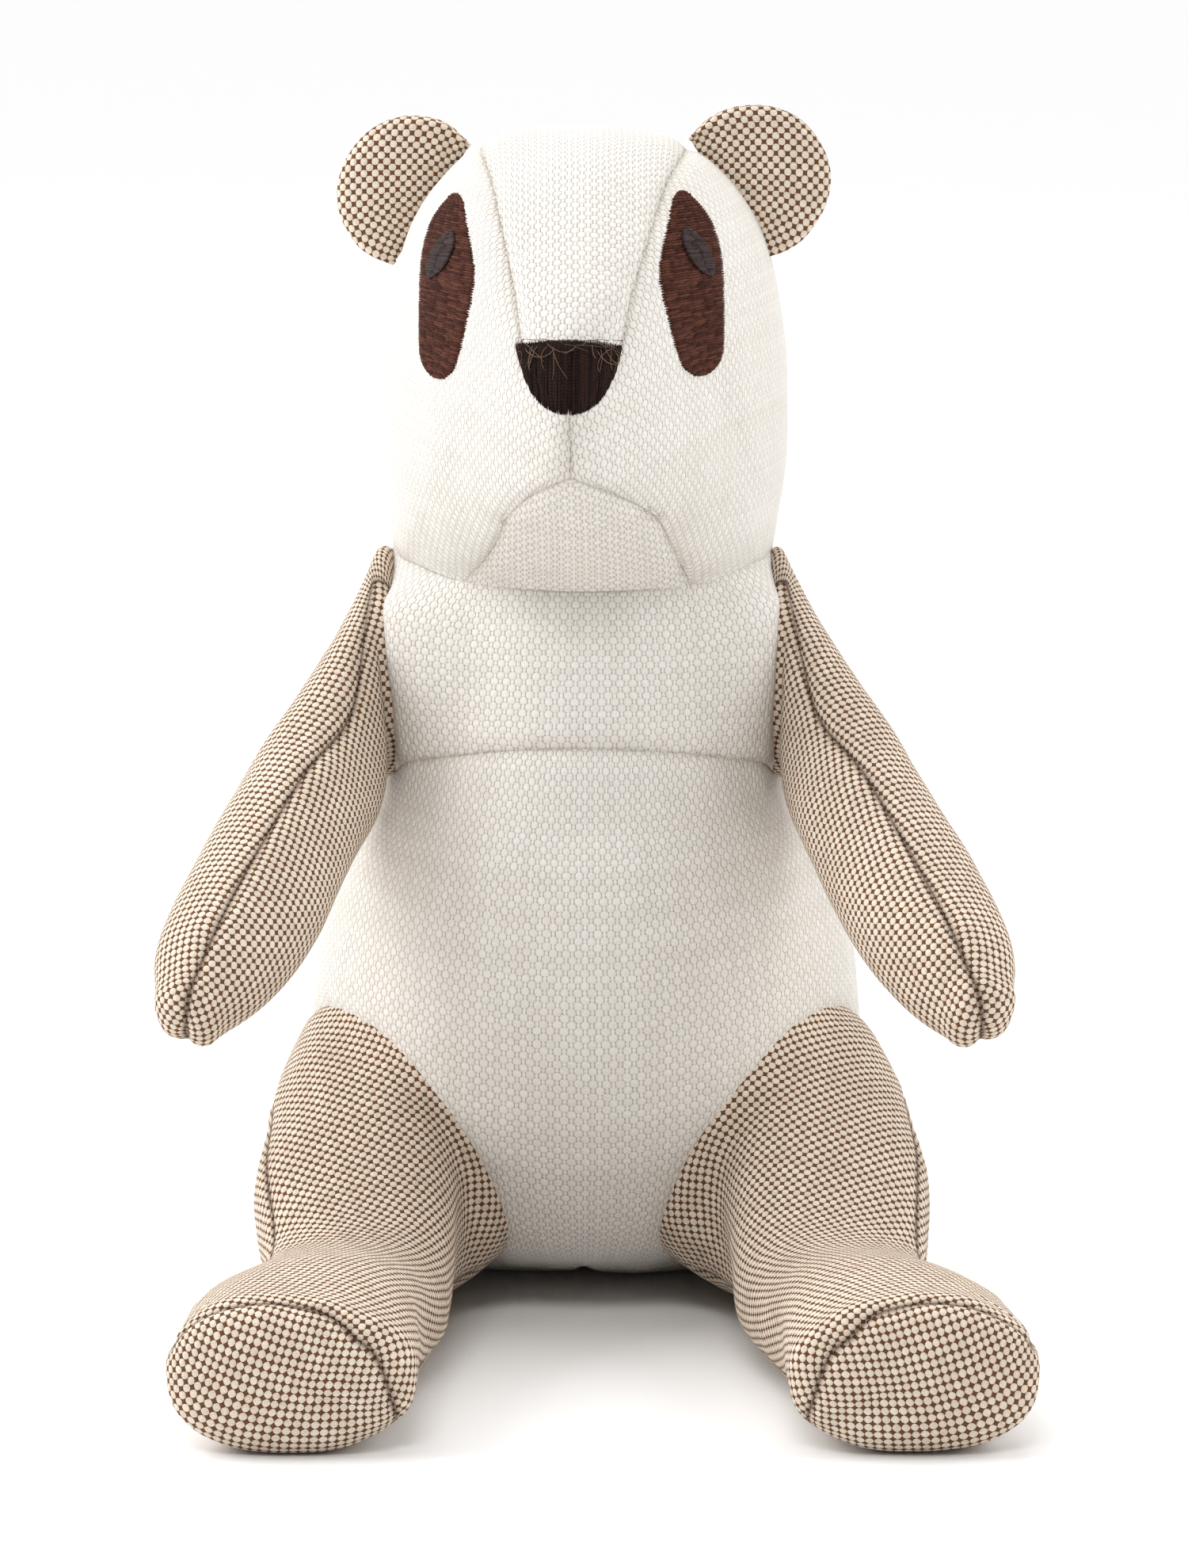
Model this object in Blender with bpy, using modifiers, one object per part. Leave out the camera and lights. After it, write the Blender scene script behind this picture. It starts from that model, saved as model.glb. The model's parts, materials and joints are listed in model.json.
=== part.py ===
"""Plush panda: a seated soft toy of woven canvas panels over stuffed bodies.

Torso, head, two arms, two legs and two ears are stuffed bodies. Each body is
one closed form, cut along its seams into separate fabric panels, with the
stuffing as a solid of its own inside them. A limb meets its neighbour in a
flat seam plane, and its joint axis is that plane's normal.

Metres, +Z up. The toy faces -Y, and its own left is +X. The floor is z = 0.
"""

import math

import bmesh
import bpy
import numpy as np
from mathutils import Matrix, Vector

# Cloth and fit
SKIN = 0.0010                 # thickness of a canvas panel
GAP = 0.0003                  # clearance between pieces that touch
STUFFING_INSET = 0.0016       # stuffing below the outer face of the canvas
LIMB_INSET = 0.0024           # the same in an arm or a leg, whose root bends sharply
WELD = 0.00001
CUTTER_SIZE = 0.5

# Place of the toy's own reference point, which is the middle of its footprint
DEPTH_SHIFT = 0.0542

# Torso: height, half width, front, back
TORSO_LEVELS = (
    (0.000, 0.0340, -0.008, 0.022),
    (0.002, 0.0420, -0.018, 0.028),
    (0.006, 0.0470, -0.031, 0.033),
    (0.013, 0.0520, -0.047, 0.038),
    (0.023, 0.0550, -0.058, 0.042),
    (0.045, 0.0572, -0.067, 0.045),
    (0.064, 0.0560, -0.068, 0.045),
    (0.085, 0.0520, -0.065, 0.043),
    (0.100, 0.0465, -0.061, 0.041),
    (0.118, 0.0412, -0.055, 0.038),
    (0.135, 0.0390, -0.050, 0.036),
    (0.150, 0.0388, -0.046, 0.035),
    (0.168, 0.0388, -0.045, 0.035),
)
TORSO_MIDDLE = -0.005
TORSO_COLUMNS = 28
CHEST_SEAM_MIDDLE = 0.1185    # height of the chest seam at the front
CHEST_SEAM_DROP = 0.0100      # how much lower it is at the sides
BELLY_EDGE_FRONT = 0.0060     # lower edge of the belly panel
SIDE_SEAM_COLUMN = 8          # columns from the front to the side seam

# Neck seam plane
NECK_POINT = Vector((0.0, -0.005, 0.1542))
NECK_TILT = math.radians(8.4)
NECK_NORMAL = Vector((0.0, -math.sin(NECK_TILT), math.cos(NECK_TILT)))
NECK_OVERLAP = 0.002          # how far the head's form runs past the seam before the trim
HEAD_TURN = math.radians(-2.0)    # the head is sewn on turned slightly to its right

# Head: height, half width, front, back, middle, power of the front half's section
HEAD_LEVELS = (
    (0.142, 0.0385, -0.0440, 0.0345, -0.005, 2.10),
    (0.149, 0.0388, -0.0465, 0.0350, -0.005, 2.05),
    (0.156, 0.0392, -0.0570, 0.0355, -0.005, 1.95),
    (0.166, 0.0403, -0.0710, 0.0370, -0.005, 1.72),
    (0.176, 0.0411, -0.0800, 0.0385, -0.005, 1.52),
    (0.188, 0.0412, -0.0845, 0.0392, -0.005, 1.45),
    (0.199, 0.0400, -0.0838, 0.0388, -0.005, 1.50),
    (0.208, 0.0384, -0.0790, 0.0368, -0.006, 1.62),
    (0.216, 0.0362, -0.0705, 0.0330, -0.007, 1.75),
    (0.224, 0.0318, -0.0600, 0.0270, -0.009, 1.88),
    (0.2305, 0.0262, -0.0500, 0.0185, -0.012, 1.97),
    (0.2350, 0.0203, -0.0415, 0.0090, -0.014, 2.00),
    (0.2380, 0.0125, -0.0305, -0.0030, -0.016, 2.00),
    (0.2392, 0.0040, -0.0220, -0.0130, -0.0175, 2.00),
)
HEAD_CENTRE = Vector((0.0, -0.010, 0.190))
CHIN_HALF_WIDTH = 0.0225      # at the neck seam
MOUTH_CORNER = (0.0168, 0.1660)
MOUTH_MIDDLE = 0.1757         # height where the mouth seam meets the seam under the nose
CHIN_ROWS = 4
CHIN_COLUMNS = 6
PHILTRUM = ((0.0, 0.1820), (0.0, 0.1885))
NOSE_SIDE = ((0.0070, 0.1960), (0.0100, 0.2020))
CROWN_HALF_WIDTH = ((9.5, 0.0100), (45.0, 0.0175), (80.0, 0.0225), (130.0, 0.0215), (205.0, 0.0140))
CROWN_ROWS = 13
CHEEK_COLUMNS = 8
CHEEK_EVENING = 12
CHEEK_RAY = (0.040, -0.040, -0.004)    # from the head's centre to the middle of a cheek

HEAD_FOLD = math.radians(72.0)         # largest angle between two panels at their seam

# Face
EYE_SPOT = dict(x=0.0247, height=0.2090, half_width=0.0060, half_height=0.0177, lean=2.0)
PUPIL = dict(x=0.0247, height=0.2165, half_width=0.0024, half_height=0.0044, lean=14.0)
NOSE = dict(top=0.2022, bottom=0.1885, half_width=0.0096)
EMBROIDERY = 0.0008
FACE_SHIFT = -0.0015          # the eyes and the ears sit slightly to the toy's right

# Shoulder seam plane, and the arm's sections: place, half sizes outward, inward, across
SHOULDER_POINT = (0.0388, -0.0125, 0.1292)
SHOULDER_NORMAL = (0.985, -0.130, 0.100)
SHOULDER_LONG = 0.0234
SHOULDER_SHORT = 0.0208
SHOULDER_LEAN = math.radians(20.0)
SHOULDER_RECESS = 0.0275
ARM_SECTIONS = (
    ((0.0512, -0.040, 0.1150), 0.0125, 0.0112, 0.0172),
    ((0.0578, -0.058, 0.1042), 0.0145, 0.0145, 0.0160),
    ((0.0655, -0.080, 0.0905), 0.0153, 0.0146, 0.0150),
    ((0.0708, -0.096, 0.0812), 0.0140, 0.0128, 0.0128),
    ((0.0738, -0.1050, 0.0758), 0.0100, 0.0088, 0.0088),
)
ARM_TIP = (0.0757, -0.1108, 0.0728)
ARM_COLUMNS = 14
ARM_SEAM_TURN = math.radians(18.0)
ARM_FOLD = math.radians(55.0)         # largest angle between the panels at their seam

# Hip seam plane, and the leg's sections: place, half sizes outward, inward, up, down
HIP_POINT = (0.0370, -0.022, 0.0278)
HIP_NORMAL = (0.787, -0.426, -0.446)
LEG_SECTIONS = (
    ((0.0465, -0.055, 0.0235), 0.0228, 0.0225, 0.0245, 0.0235),
    ((0.0445, -0.088, 0.0150), 0.0210, 0.0172, 0.0140, 0.0150),
    ((0.0515, -0.118, 0.0152), 0.0240, 0.0200, 0.0144, 0.0152),
    ((0.0557, -0.143, 0.0152), 0.0235, 0.0235, 0.0138, 0.0152),
)
LEG_POWER = 2.35
SOLE_RINGS = ((0.985, -0.0045), (0.80, -0.0082), (0.45, -0.0098))
SOLE_POLE = -0.0102
FEET_SHIFT = 0.0022           # both feet point slightly to the toy's left
LEG_COLUMNS = 20
ROOT_OVERLAP = 0.004          # how far a limb's form runs past its seam plane before the trim
LEG_OUTER_SEAM = 4            # columns from the top line
LEG_INNER_SEAM = -7

# Ears
EAR_BASE_TOP = (0.0212, -0.006, 0.2342)
EAR_BASE_LOW = (0.0372, -0.006, 0.2092)
EAR_LENGTH = 0.0190
EAR_HALF_WIDTH = 0.0162
EAR_THICK_BASE = 0.0030
EAR_THICK_MIDDLE = 0.0064
EAR_THICK_RIM = 0.0026
EAR_CLEARANCE = 0.0026        # from the base chord to the ear's lower edge
EAR_BASE_BOW = 0.0016         # how much the lower edge rises between its ends
EAR_ROWS = 7
EAR_COLUMNS = 8
WADDING_SHRINK = 0.0036       # from the ear's outline to the wadding's
WADDING_START = 0.16          # where the wadding starts, as a share of the ear's length

# Pellet bag in the seat
PELLET_RADIUS = 0.0180
PELLET_BOTTOM = 0.0032
PELLET_TOP = 0.0170
PELLET_Y = 0.0040


# ---------------------------------------------------------------- curves and forms

def smooth_through(knots, values, at):
    """Cubic interpolation through the points, without overshoot between them."""
    x = np.asarray(knots, float)
    y = np.asarray(values, float)
    at = np.clip(np.asarray(at, float), x[0], x[-1])
    step = np.diff(x)
    slope = np.diff(y) / step
    tangent = np.empty(len(x))
    tangent[0] = slope[0]
    tangent[-1] = slope[-1]
    product = slope[:-1] * slope[1:]
    total = slope[:-1] + slope[1:]
    total = np.where(np.abs(total) < 1e-12, 1.0, total)
    tangent[1:-1] = np.where(product > 0, 2 * product / total, 0.0)
    k = np.clip(np.searchsorted(x, at, side="right") - 1, 0, len(step) - 1)
    t = (at - x[k]) / step[k]
    rise = step[k] * (t * (1 - t) ** 2 * tangent[k] - t * t * (1 - t) * tangent[k + 1])
    return y[k] * (1 + 2 * t) * (1 - t) ** 2 + y[k + 1] * t * t * (3 - 2 * t) + rise


def spline_rows(rows, steps):
    """Rings of points between the given rings, on one cubic per column."""
    rings = [np.array(row) for row in rows]
    count = len(rings)
    out = []
    for k in range(count - 1):
        before = rings[max(k - 1, 0)]
        after = rings[min(k + 2, count - 1)]
        a = rings[k]
        b = rings[k + 1]
        leave = (b - before) / (2 if k > 0 else 1)
        arrive = (after - a) / (2 if k < count - 2 else 1)
        for i in range(steps[k]):
            t = i / steps[k]
            out.append(
                a * (2 * t ** 3 - 3 * t * t + 1)
                + b * (3 * t * t - 2 * t ** 3)
                + leave * (t ** 3 - 2 * t * t + t)
                + arrive * (t ** 3 - t * t)
            )
    out.append(rings[-1])
    return out


class Form:
    """A closed body given by its level sections, each an oval about a middle line."""

    def __init__(self, levels, middle=None):
        table = np.array([list(row) for row in levels])
        self.height = table[:, 0]
        self.width = table[:, 1]
        self.front = table[:, 2]
        self.back = table[:, 3]
        self.middle = table[:, 4] if table.shape[1] > 4 else np.full(len(table), middle)
        self.power = table[:, 5] if table.shape[1] > 5 else np.full(len(table), 2.0)

    def section(self, z, towards_front):
        width = smooth_through(self.height, self.width, z)
        middle = smooth_through(self.height, self.middle, z)
        front = middle - smooth_through(self.height, self.front, z)
        back = smooth_through(self.height, self.back, z) - middle
        power = smooth_through(self.height, self.power, z)
        depth = np.where(towards_front, front, back)
        return width, middle, depth, np.where(towards_front, power, 2.0)

    def point(self, angle, z):
        """The surface point at an angle from the front, positive to the toy's left."""
        across = math.sin(angle)
        along = math.cos(angle)
        width, middle, depth, power = self.section(z, along > 0)
        x = width * math.copysign(abs(across) ** (2 / power), across)
        y = middle - depth * math.copysign(abs(along) ** (2 / power), along)
        return np.array([x, y, z])

    def front_point(self, x, z):
        width, middle, depth, power = self.section(z, True)
        return np.array([x, middle - depth * (1 - abs(x / width) ** power) ** (1 / power), z])

    def outside(self, points):
        z = points[:, 2]
        middle = smooth_through(self.height, self.middle, z)
        width, middle, depth, power = self.section(z, points[:, 1] < middle)
        level = np.abs(points[:, 0] / width) ** power
        level = level + np.abs((points[:, 1] - middle) / depth) ** power
        return (level > 1) | (z < self.height[0]) | (z > self.height[-1])

    def reach(self, origin, directions):
        """Where rays from a point inside leave the body."""
        origin = np.array(origin, float)
        rays = np.array(directions, float)
        rays = rays / np.linalg.norm(rays, axis=1)[:, None]
        near = np.zeros(len(rays))
        far = np.full(len(rays), 0.2)
        for _ in range(34):
            half = (near + far) / 2
            out = self.outside(origin + rays * half[:, None])
            far = np.where(out, half, far)
            near = np.where(out, near, half)
        return origin + rays * near[:, None]


TORSO = Form(TORSO_LEVELS, TORSO_MIDDLE)
HEAD = Form(HEAD_LEVELS)


# ---------------------------------------------------------------- Blender helpers

def clear_scene():
    for obj in list(bpy.data.objects):
        bpy.data.objects.remove(obj, do_unlink=True)


def collection(name):
    made = bpy.data.collections.new(name)
    bpy.context.scene.collection.children.link(made)
    return made


def material(name, colour, roughness):
    made = bpy.data.materials.new(name)
    made.use_nodes = True
    surface = made.node_tree.nodes["Principled BSDF"]
    surface.inputs["Base Color"].default_value = (*colour, 1.0)
    surface.inputs["Roughness"].default_value = roughness
    surface.inputs["Metallic"].default_value = 0.0
    made.diffuse_color = (*colour, 1.0)
    return made


def sheet(rows, centre):
    """A sheet of quads through rows of points, facing away from centre."""
    mesh = bmesh.new()
    grid = [[mesh.verts.new(Vector(p)) for p in row] for row in rows]
    for lower, upper in zip(grid, grid[1:]):
        for k in range(len(lower) - 1):
            mesh.faces.new((lower[k], lower[k + 1], upper[k + 1], upper[k]))
    bmesh.ops.remove_doubles(mesh, verts=mesh.verts, dist=WELD)
    face_away(mesh, centre)
    return mesh


def face_away(mesh, centre):
    mesh.normal_update()
    facing = sum(f.normal.dot(f.calc_center_median() - Vector(centre)) * f.calc_area() for f in mesh.faces)
    if facing < 0:
        bmesh.ops.reverse_faces(mesh, faces=mesh.faces)


def joined(sheets):
    """One mesh of several sheets, welded along their shared edges."""
    whole = bmesh.new()
    for part in sheets:
        copy = bpy.data.meshes.new("piece")
        part.to_mesh(copy)
        whole.from_mesh(copy)
        bpy.data.meshes.remove(copy)
    bmesh.ops.remove_doubles(whole, verts=whole.verts, dist=WELD)
    return whole


def close_holes(mesh):
    rim = [e for e in mesh.edges if e.is_boundary]
    if rim:
        bmesh.ops.holes_fill(mesh, edges=rim, sides=0)
    bmesh.ops.recalc_face_normals(mesh, faces=mesh.faces)


def pull_back_rim(mesh, distance):
    """Moves the rim of a sheet inwards along the sheet."""
    moves = []
    for vert in mesh.verts:
        if not vert.is_boundary:
            continue
        inner = [e.other_vert(vert).co for e in vert.link_edges if not e.is_boundary]
        far = distance if len(vert.link_faces) < 4 else distance * 3
        if not inner:
            inner = [f.calc_center_median() for f in vert.link_faces]
            far = distance * 1.4
        middle = sum(inner, Vector()) / len(inner)
        moves.append((vert, (middle - vert.co).normalized() * far))
    for vert, move in moves:
        vert.co += move


def add_object(name, mesh, stuff, home):
    data = bpy.data.meshes.new(name)
    mesh.to_mesh(data)
    mesh.free()
    data.shade_smooth()
    obj = bpy.data.objects.new(name, data)
    home.objects.link(obj)
    data.materials.append(stuff)
    return obj


def cut(obj, cutters):
    for cutter in cutters:
        step = obj.modifiers.new("cut", "BOOLEAN")
        step.operation = "DIFFERENCE"
        step.solver = "EXACT"
        step.object = cutter


def add_skin(name, mesh, stuff, home, cutters=(), fold=0.0):
    """A canvas panel: the sheet drawn back from its seams and given its thickness.

    fold is the angle between two panels' faces at their seam."""
    pull_back_rim(mesh, GAP / 2 + SKIN * math.tan(fold / 2))
    obj = add_object(name, mesh, stuff, home)
    shell = obj.modifiers.new("cloth", "SOLIDIFY")
    shell.thickness = SKIN
    shell.offset = -1
    shell.use_even_offset = True
    cut(obj, cutters)
    return obj


def add_stuffing(name, sheets, stuff, home, cutters=(), inset=STUFFING_INSET):
    """The stuffing: the closed form of all the panels, a cloth's thickness smaller."""
    mesh = joined(sheets)
    close_holes(mesh)
    obj = add_object(name, mesh, stuff, home)
    shrink = obj.modifiers.new("inset", "DISPLACE")
    shrink.direction = "NORMAL"
    shrink.mid_level = 0.0
    shrink.strength = -inset
    cut(obj, cutters)
    return obj


def as_cutter(obj, name, home):
    obj.name = name
    for old in list(obj.users_collection):
        old.objects.unlink(obj)
    home.objects.link(obj)
    obj.hide_render = True
    obj.display_type = "WIRE"
    return obj


def half_space(name, point, normal, home):
    """A large block that fills the side of a plane which its normal points to."""
    normal = Vector(normal).normalized()
    bpy.ops.mesh.primitive_cube_add(size=CUTTER_SIZE, location=Vector(point) + normal * CUTTER_SIZE / 2)
    block = bpy.context.object
    block.rotation_mode = "QUATERNION"
    block.rotation_quaternion = normal.to_track_quat("Z", "Y")
    return as_cutter(block, name, home)


# ---------------------------------------------------------------- torso

def torso_rows(columns, heights):
    """Rows of torso points, one for each height function, over the given columns."""
    turn = 2 * math.pi / TORSO_COLUMNS
    return [[TORSO.point(k * turn, height(k * turn)) for k in columns] for height in heights]


def chest_seam(angle):
    """The chest seam: an arch over the belly, level round the back."""
    return CHEST_SEAM_MIDDLE - CHEST_SEAM_DROP * min(1.0, abs(math.sin(angle / 2) / math.sin(0.6)) ** 2)


def between(lower, upper, share):
    return lambda angle: lower(angle) * (1 - share) + upper(angle) * share


def level(height):
    return lambda angle: height


def torso_sheets():
    side = SIDE_SEAM_COLUMN
    front = range(-side, side + 1)
    left_back = range(side, TORSO_COLUMNS // 2 + 1)
    bottom = level(BELLY_EDGE_FRONT)
    top = level(TORSO_LEVELS[-1][0] - 0.004)
    belly_heights = [between(bottom, chest_seam, s) for s in (0, 0.06, 0.16, 0.32, 0.5, 0.68, 0.85, 1)]
    chest_heights = [between(chest_seam, top, s) for s in (0, 0.33, 0.66, 1)]
    under_heights = [level(z) for z in (0.0, 0.0015, 0.0035, BELLY_EDGE_FRONT)]
    centre = (0.0, TORSO_MIDDLE, 0.075)
    sheets = {
        "belly_panel": [sheet(torso_rows(front, belly_heights), centre)],
        "chest_panel": [sheet(torso_rows(front, chest_heights), centre)],
    }
    seat_middle = (0.0, (TORSO_LEVELS[0][2] + TORSO_LEVELS[0][3]) / 2, 0.0)
    for name, sign in (("back_panel_left", 1), ("back_panel_right", -1)):
        back = [sign * k for k in left_back]
        half = [sign * k for k in range(0, TORSO_COLUMNS // 2 + 1)]
        seat_edge = torso_rows(half, under_heights[:1])[0]
        seat = [[seat_middle] * len(half), seat_edge]
        sheets[name] = [
            sheet(torso_rows(back, belly_heights + chest_heights[1:]), centre),
            sheet(torso_rows(half, under_heights), centre),
            sheet(seat, centre),
        ]
    return sheets


def build_torso(home, stuffs, cutters):
    sheets = torso_sheets()
    trims = cutters["above_neck"] + cutters["beyond_hips"] + cutters["armholes"]
    everything = [part for parts in sheets.values() for part in parts]
    add_stuffing("torso_stuffing", everything, stuffs["fibre"], home, trims + cutters["pellet_recess"])
    for name, parts in sheets.items():
        panel = joined(parts)
        face_away(panel, (0.0, TORSO_MIDDLE, 0.075))
        add_skin(name, panel, stuffs["white_canvas"], home, trims)
    bpy.ops.mesh.primitive_cylinder_add(
        vertices=24, radius=PELLET_RADIUS, depth=PELLET_TOP - PELLET_BOTTOM,
        location=(0.0, PELLET_Y, (PELLET_TOP + PELLET_BOTTOM) / 2),
    )
    bag = bpy.context.object
    bag.name = "pellet_bag"
    bag.data.materials.append(stuffs["bag_cloth"])
    for old in list(bag.users_collection):
        old.objects.unlink(bag)
    home.objects.link(bag)
    rounding = bag.modifiers.new("rounding", "BEVEL")
    rounding.width = 0.003
    rounding.segments = 2


# ---------------------------------------------------------------- head

def neck_ring_point(form, angle, drop):
    """A point of the neck seam at an angle from the front, lowered along the neck."""
    across = Vector((1.0, 0.0, 0.0))
    ahead = across.cross(NECK_NORMAL).normalized()
    ray = ahead * -math.cos(angle) + across * math.sin(angle)
    if ahead.y < 0:
        ray = ahead * math.cos(angle) + across * math.sin(angle)
    hit = form.reach(NECK_POINT, [ray])[0]
    return hit - np.array(NECK_NORMAL) * drop


def crown_point(angle_degrees):
    """A point of the crown seam, by its angle over the head from straight ahead."""
    angle = math.radians(angle_degrees)
    middle = Vector(HEAD.reach(HEAD_CENTRE, [(0.0, -math.cos(angle), math.sin(angle))])[0])
    knots = [row[0] for row in CROWN_HALF_WIDTH]
    widths = [row[1] for row in CROWN_HALF_WIDTH]
    middle.x = float(smooth_through(knots, widths, angle_degrees))
    return HEAD.reach(HEAD_CENTRE, [middle - HEAD_CENTRE])[0]


def head_seams():
    """The edge between a cheek and the middle panels, and the cheek's neck edge."""
    drop = NECK_OVERLAP
    chin_angle = math.asin(CHIN_HALF_WIDTH / 0.040)
    chin_side = [row[-1] for row in chin_rows(chin_angle, drop)]
    mouth = chin_rows(chin_angle, drop)[-1][CHIN_COLUMNS // 2:-1]
    crown_angles = np.linspace(CROWN_HALF_WIDTH[0][0], CROWN_HALF_WIDTH[-1][0], CROWN_ROWS + 1)[1:-1]
    crown_end_angle = math.pi - math.asin(CROWN_HALF_WIDTH[-1][1] / 0.040)
    chin = chin_side + mouth[::-1]
    lip = [HEAD.front_point(x, z) for x, z in PHILTRUM]
    crown = [HEAD.front_point(x, z) for x, z in NOSE_SIDE]
    crown += [crown_point(a) for a in crown_angles]
    crown += [neck_ring_point(HEAD, crown_end_angle, drop)]
    inner = chin + lip + crown
    lengths = np.cumsum([0] + [float(np.linalg.norm(b - a)) for a, b in zip(inner, inner[1:])])
    share = lengths / lengths[-1]
    neck = [neck_ring_point(HEAD, chin_angle + (crown_end_angle - chin_angle) * s, drop) for s in share]
    return lip, crown, inner, neck


def chin_rows(angle, drop):
    """The chin panel from the neck seam up to the mouth seam."""
    columns = range(CHIN_COLUMNS + 1)
    lower = [neck_ring_point(HEAD, angle * (2 * k / CHIN_COLUMNS - 1), drop) for k in columns]
    upper = []
    for k in columns:
        across = 2 * k / CHIN_COLUMNS - 1
        fall = (MOUTH_MIDDLE - MOUTH_CORNER[1]) * abs(across) ** 1.25
        upper.append(HEAD.front_point(MOUTH_CORNER[0] * across, MOUTH_MIDDLE - fall))
    rows = ruled(lower, upper, CHIN_ROWS)
    return [list(row) for row in zip(*rows)]


def ruled(start, end, columns, bows=None):
    """Rows across the head between two seams, laid on the head's surface.

    Each row may bow towards the middle of the cheek, by its share in bows."""
    rows = []
    for i, (a, b) in enumerate(zip(start, end)):
        ray_a = np.array(a) - np.array(HEAD_CENTRE)
        ray_b = np.array(b) - np.array(HEAD_CENTRE)
        if np.linalg.norm(ray_a - ray_b) < WELD:
            rows.append([a] * (columns + 1))
            continue
        bend = (ray_a + ray_b) / 2
        if bows:
            cheek = np.array(CHEEK_RAY) * (math.copysign(1.0, b[0]), 1.0, 1.0)
            bend = bend * (1 - bows[i]) + cheek * bows[i]
        steps = [k / columns for k in range(columns + 1)]
        rays = [ray_a * (1 - t) ** 2 + bend * 2 * t * (1 - t) + ray_b * t * t for t in steps]
        row = list(HEAD.reach(HEAD_CENTRE, rays))
        row[0] = a
        row[-1] = b
        rows.append(row)
    return rows


def cheek_sheet(inner, neck):
    """A cheek, whose rows bow over the corner of the mouth and are then evened out."""
    last = len(inner) - 1
    front = CHIN_ROWS + CHIN_COLUMNS // 2 + len(PHILTRUM) + len(NOSE_SIDE)
    bows = [min(i / CHIN_ROWS, (last - i) / (last - front), 1.0) for i in range(last + 1)]
    grid = np.array(ruled(inner, neck, CHEEK_COLUMNS, bows))
    for _ in range(CHEEK_EVENING):
        near = grid[:-2, 1:-1] + grid[2:, 1:-1] + grid[1:-1, :-2] + grid[1:-1, 2:]
        rays = near.reshape(-1, 3) / 4 - np.array(HEAD_CENTRE)
        grid[1:-1, 1:-1] = HEAD.reach(HEAD_CENTRE, rays).reshape(near.shape)
    return sheet([list(row) for row in grid], HEAD_CENTRE)


def mirrored(points):
    return [np.array([-p[0], p[1], p[2]]) for p in points]


def turned(mesh):
    """The head's own pieces, turned about the neck as the head is sewn on."""
    spin = Matrix.Translation(NECK_POINT) @ Matrix.Rotation(HEAD_TURN, 4, NECK_NORMAL)
    bmesh.ops.transform(mesh, matrix=spin @ Matrix.Translation(-NECK_POINT), verts=mesh.verts)
    return mesh


def head_sheets():
    lip, crown, inner, neck = head_seams()
    chin_angle = math.asin(CHIN_HALF_WIDTH / 0.040)
    crown = [lip[-1]] + crown
    return {
        "crown_gusset": sheet(ruled(mirrored(crown), crown, 4), HEAD_CENTRE),
        "chin_panel": sheet(chin_rows(chin_angle, NECK_OVERLAP), HEAD_CENTRE),
        "cheek_panel_left": cheek_sheet(inner, neck),
        "cheek_panel_right": cheek_sheet(mirrored(inner), mirrored(neck)),
    }


def build_head(home, stuffs, cutters):
    sheets = head_sheets()
    add_stuffing("head_stuffing", [turned(s.copy()) for s in sheets.values()], stuffs["fibre"], home,
                 cutters["below_neck"])
    for name, panel in sheets.items():
        add_skin(name, turned(panel), stuffs["white_canvas"], home, cutters["below_neck"], HEAD_FOLD)
    for name, side in (("left", 1), ("right", -1)):
        build_ear(name, side, home, stuffs)
        add_embroidery("eye_patch_" + name, shifted(oval_outline(side, **EYE_SPOT)), GAP, EMBROIDERY,
                       stuffs["brown_thread"], home)
        add_embroidery("pupil_" + name, shifted(oval_outline(side, **PUPIL)), 2 * GAP + EMBROIDERY, EMBROIDERY / 2,
                       stuffs["grey_thread"], home)
    add_embroidery("nose_embroidery", nose_outline(), GAP, 2 * EMBROIDERY, stuffs["black_thread"], home)


def oval_outline(side, x, height, half_width, half_height, lean):
    """Places on the face, as (x, height), round an oval that leans inward at its top."""
    tilt = -side * math.radians(lean)
    rim = []
    for k in range(16):
        a = 2 * math.pi * k / 16
        across = half_width * math.sin(a)
        up = half_height * math.cos(a)
        rim.append((side * x + across * math.cos(tilt) + up * math.sin(tilt),
                    height - across * math.sin(tilt) + up * math.cos(tilt)))
    return (side * x, height), rim


def shifted(outline):
    (x, height), rim = outline
    return (x + FACE_SHIFT, height), [(a + FACE_SHIFT, b) for a, b in rim]


def nose_outline():
    """A flat top edge over a half round."""
    half = NOSE["half_width"]
    drop = NOSE["top"] - NOSE["bottom"]
    rim = [(half * (k / 4 - 1), NOSE["top"]) for k in range(1, 8)]
    for k in range(9):
        a = math.pi * k / 8
        rim.append((half * math.cos(a), NOSE["top"] - 0.001 - (drop - 0.001) * math.sin(a)))
    return (0.0, NOSE["top"] - drop * 0.45), rim


def add_embroidery(name, outline, lift, thickness, stuff, home):
    """Raised stitching: a patch laid on the face and thickened outward."""
    (cx, cz), rim = outline
    closed = rim + rim[:1]
    shares = (0.0, 0.4, 0.75, 1.0)
    rows = [[HEAD.front_point(cx + (x - cx) * s, cz + (z - cz) * s) for x, z in closed] for s in shares]
    mesh = sheet(rows, HEAD_CENTRE)
    mesh.normal_update()
    for vert, normal in [(v, v.normal.copy()) for v in mesh.verts]:
        vert.co += normal * lift
    obj = add_object(name, turned(mesh), stuff, home)
    shell = obj.modifiers.new("stitching", "SOLIDIFY")
    shell.thickness = thickness
    shell.offset = 1


# ---------------------------------------------------------------- ears

def ear_frame(side):
    top = Vector((side * EAR_BASE_TOP[0] + FACE_SHIFT / 2, EAR_BASE_TOP[1], EAR_BASE_TOP[2]))
    low = Vector((side * EAR_BASE_LOW[0] + FACE_SHIFT / 2, EAR_BASE_LOW[1], EAR_BASE_LOW[2]))
    along = (low - top).normalized()
    away = Vector((0.0, 1.0, 0.0)).cross(along)
    if away.x * side < 0:
        away.negate()
    return (top + low) / 2, along, away


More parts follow.
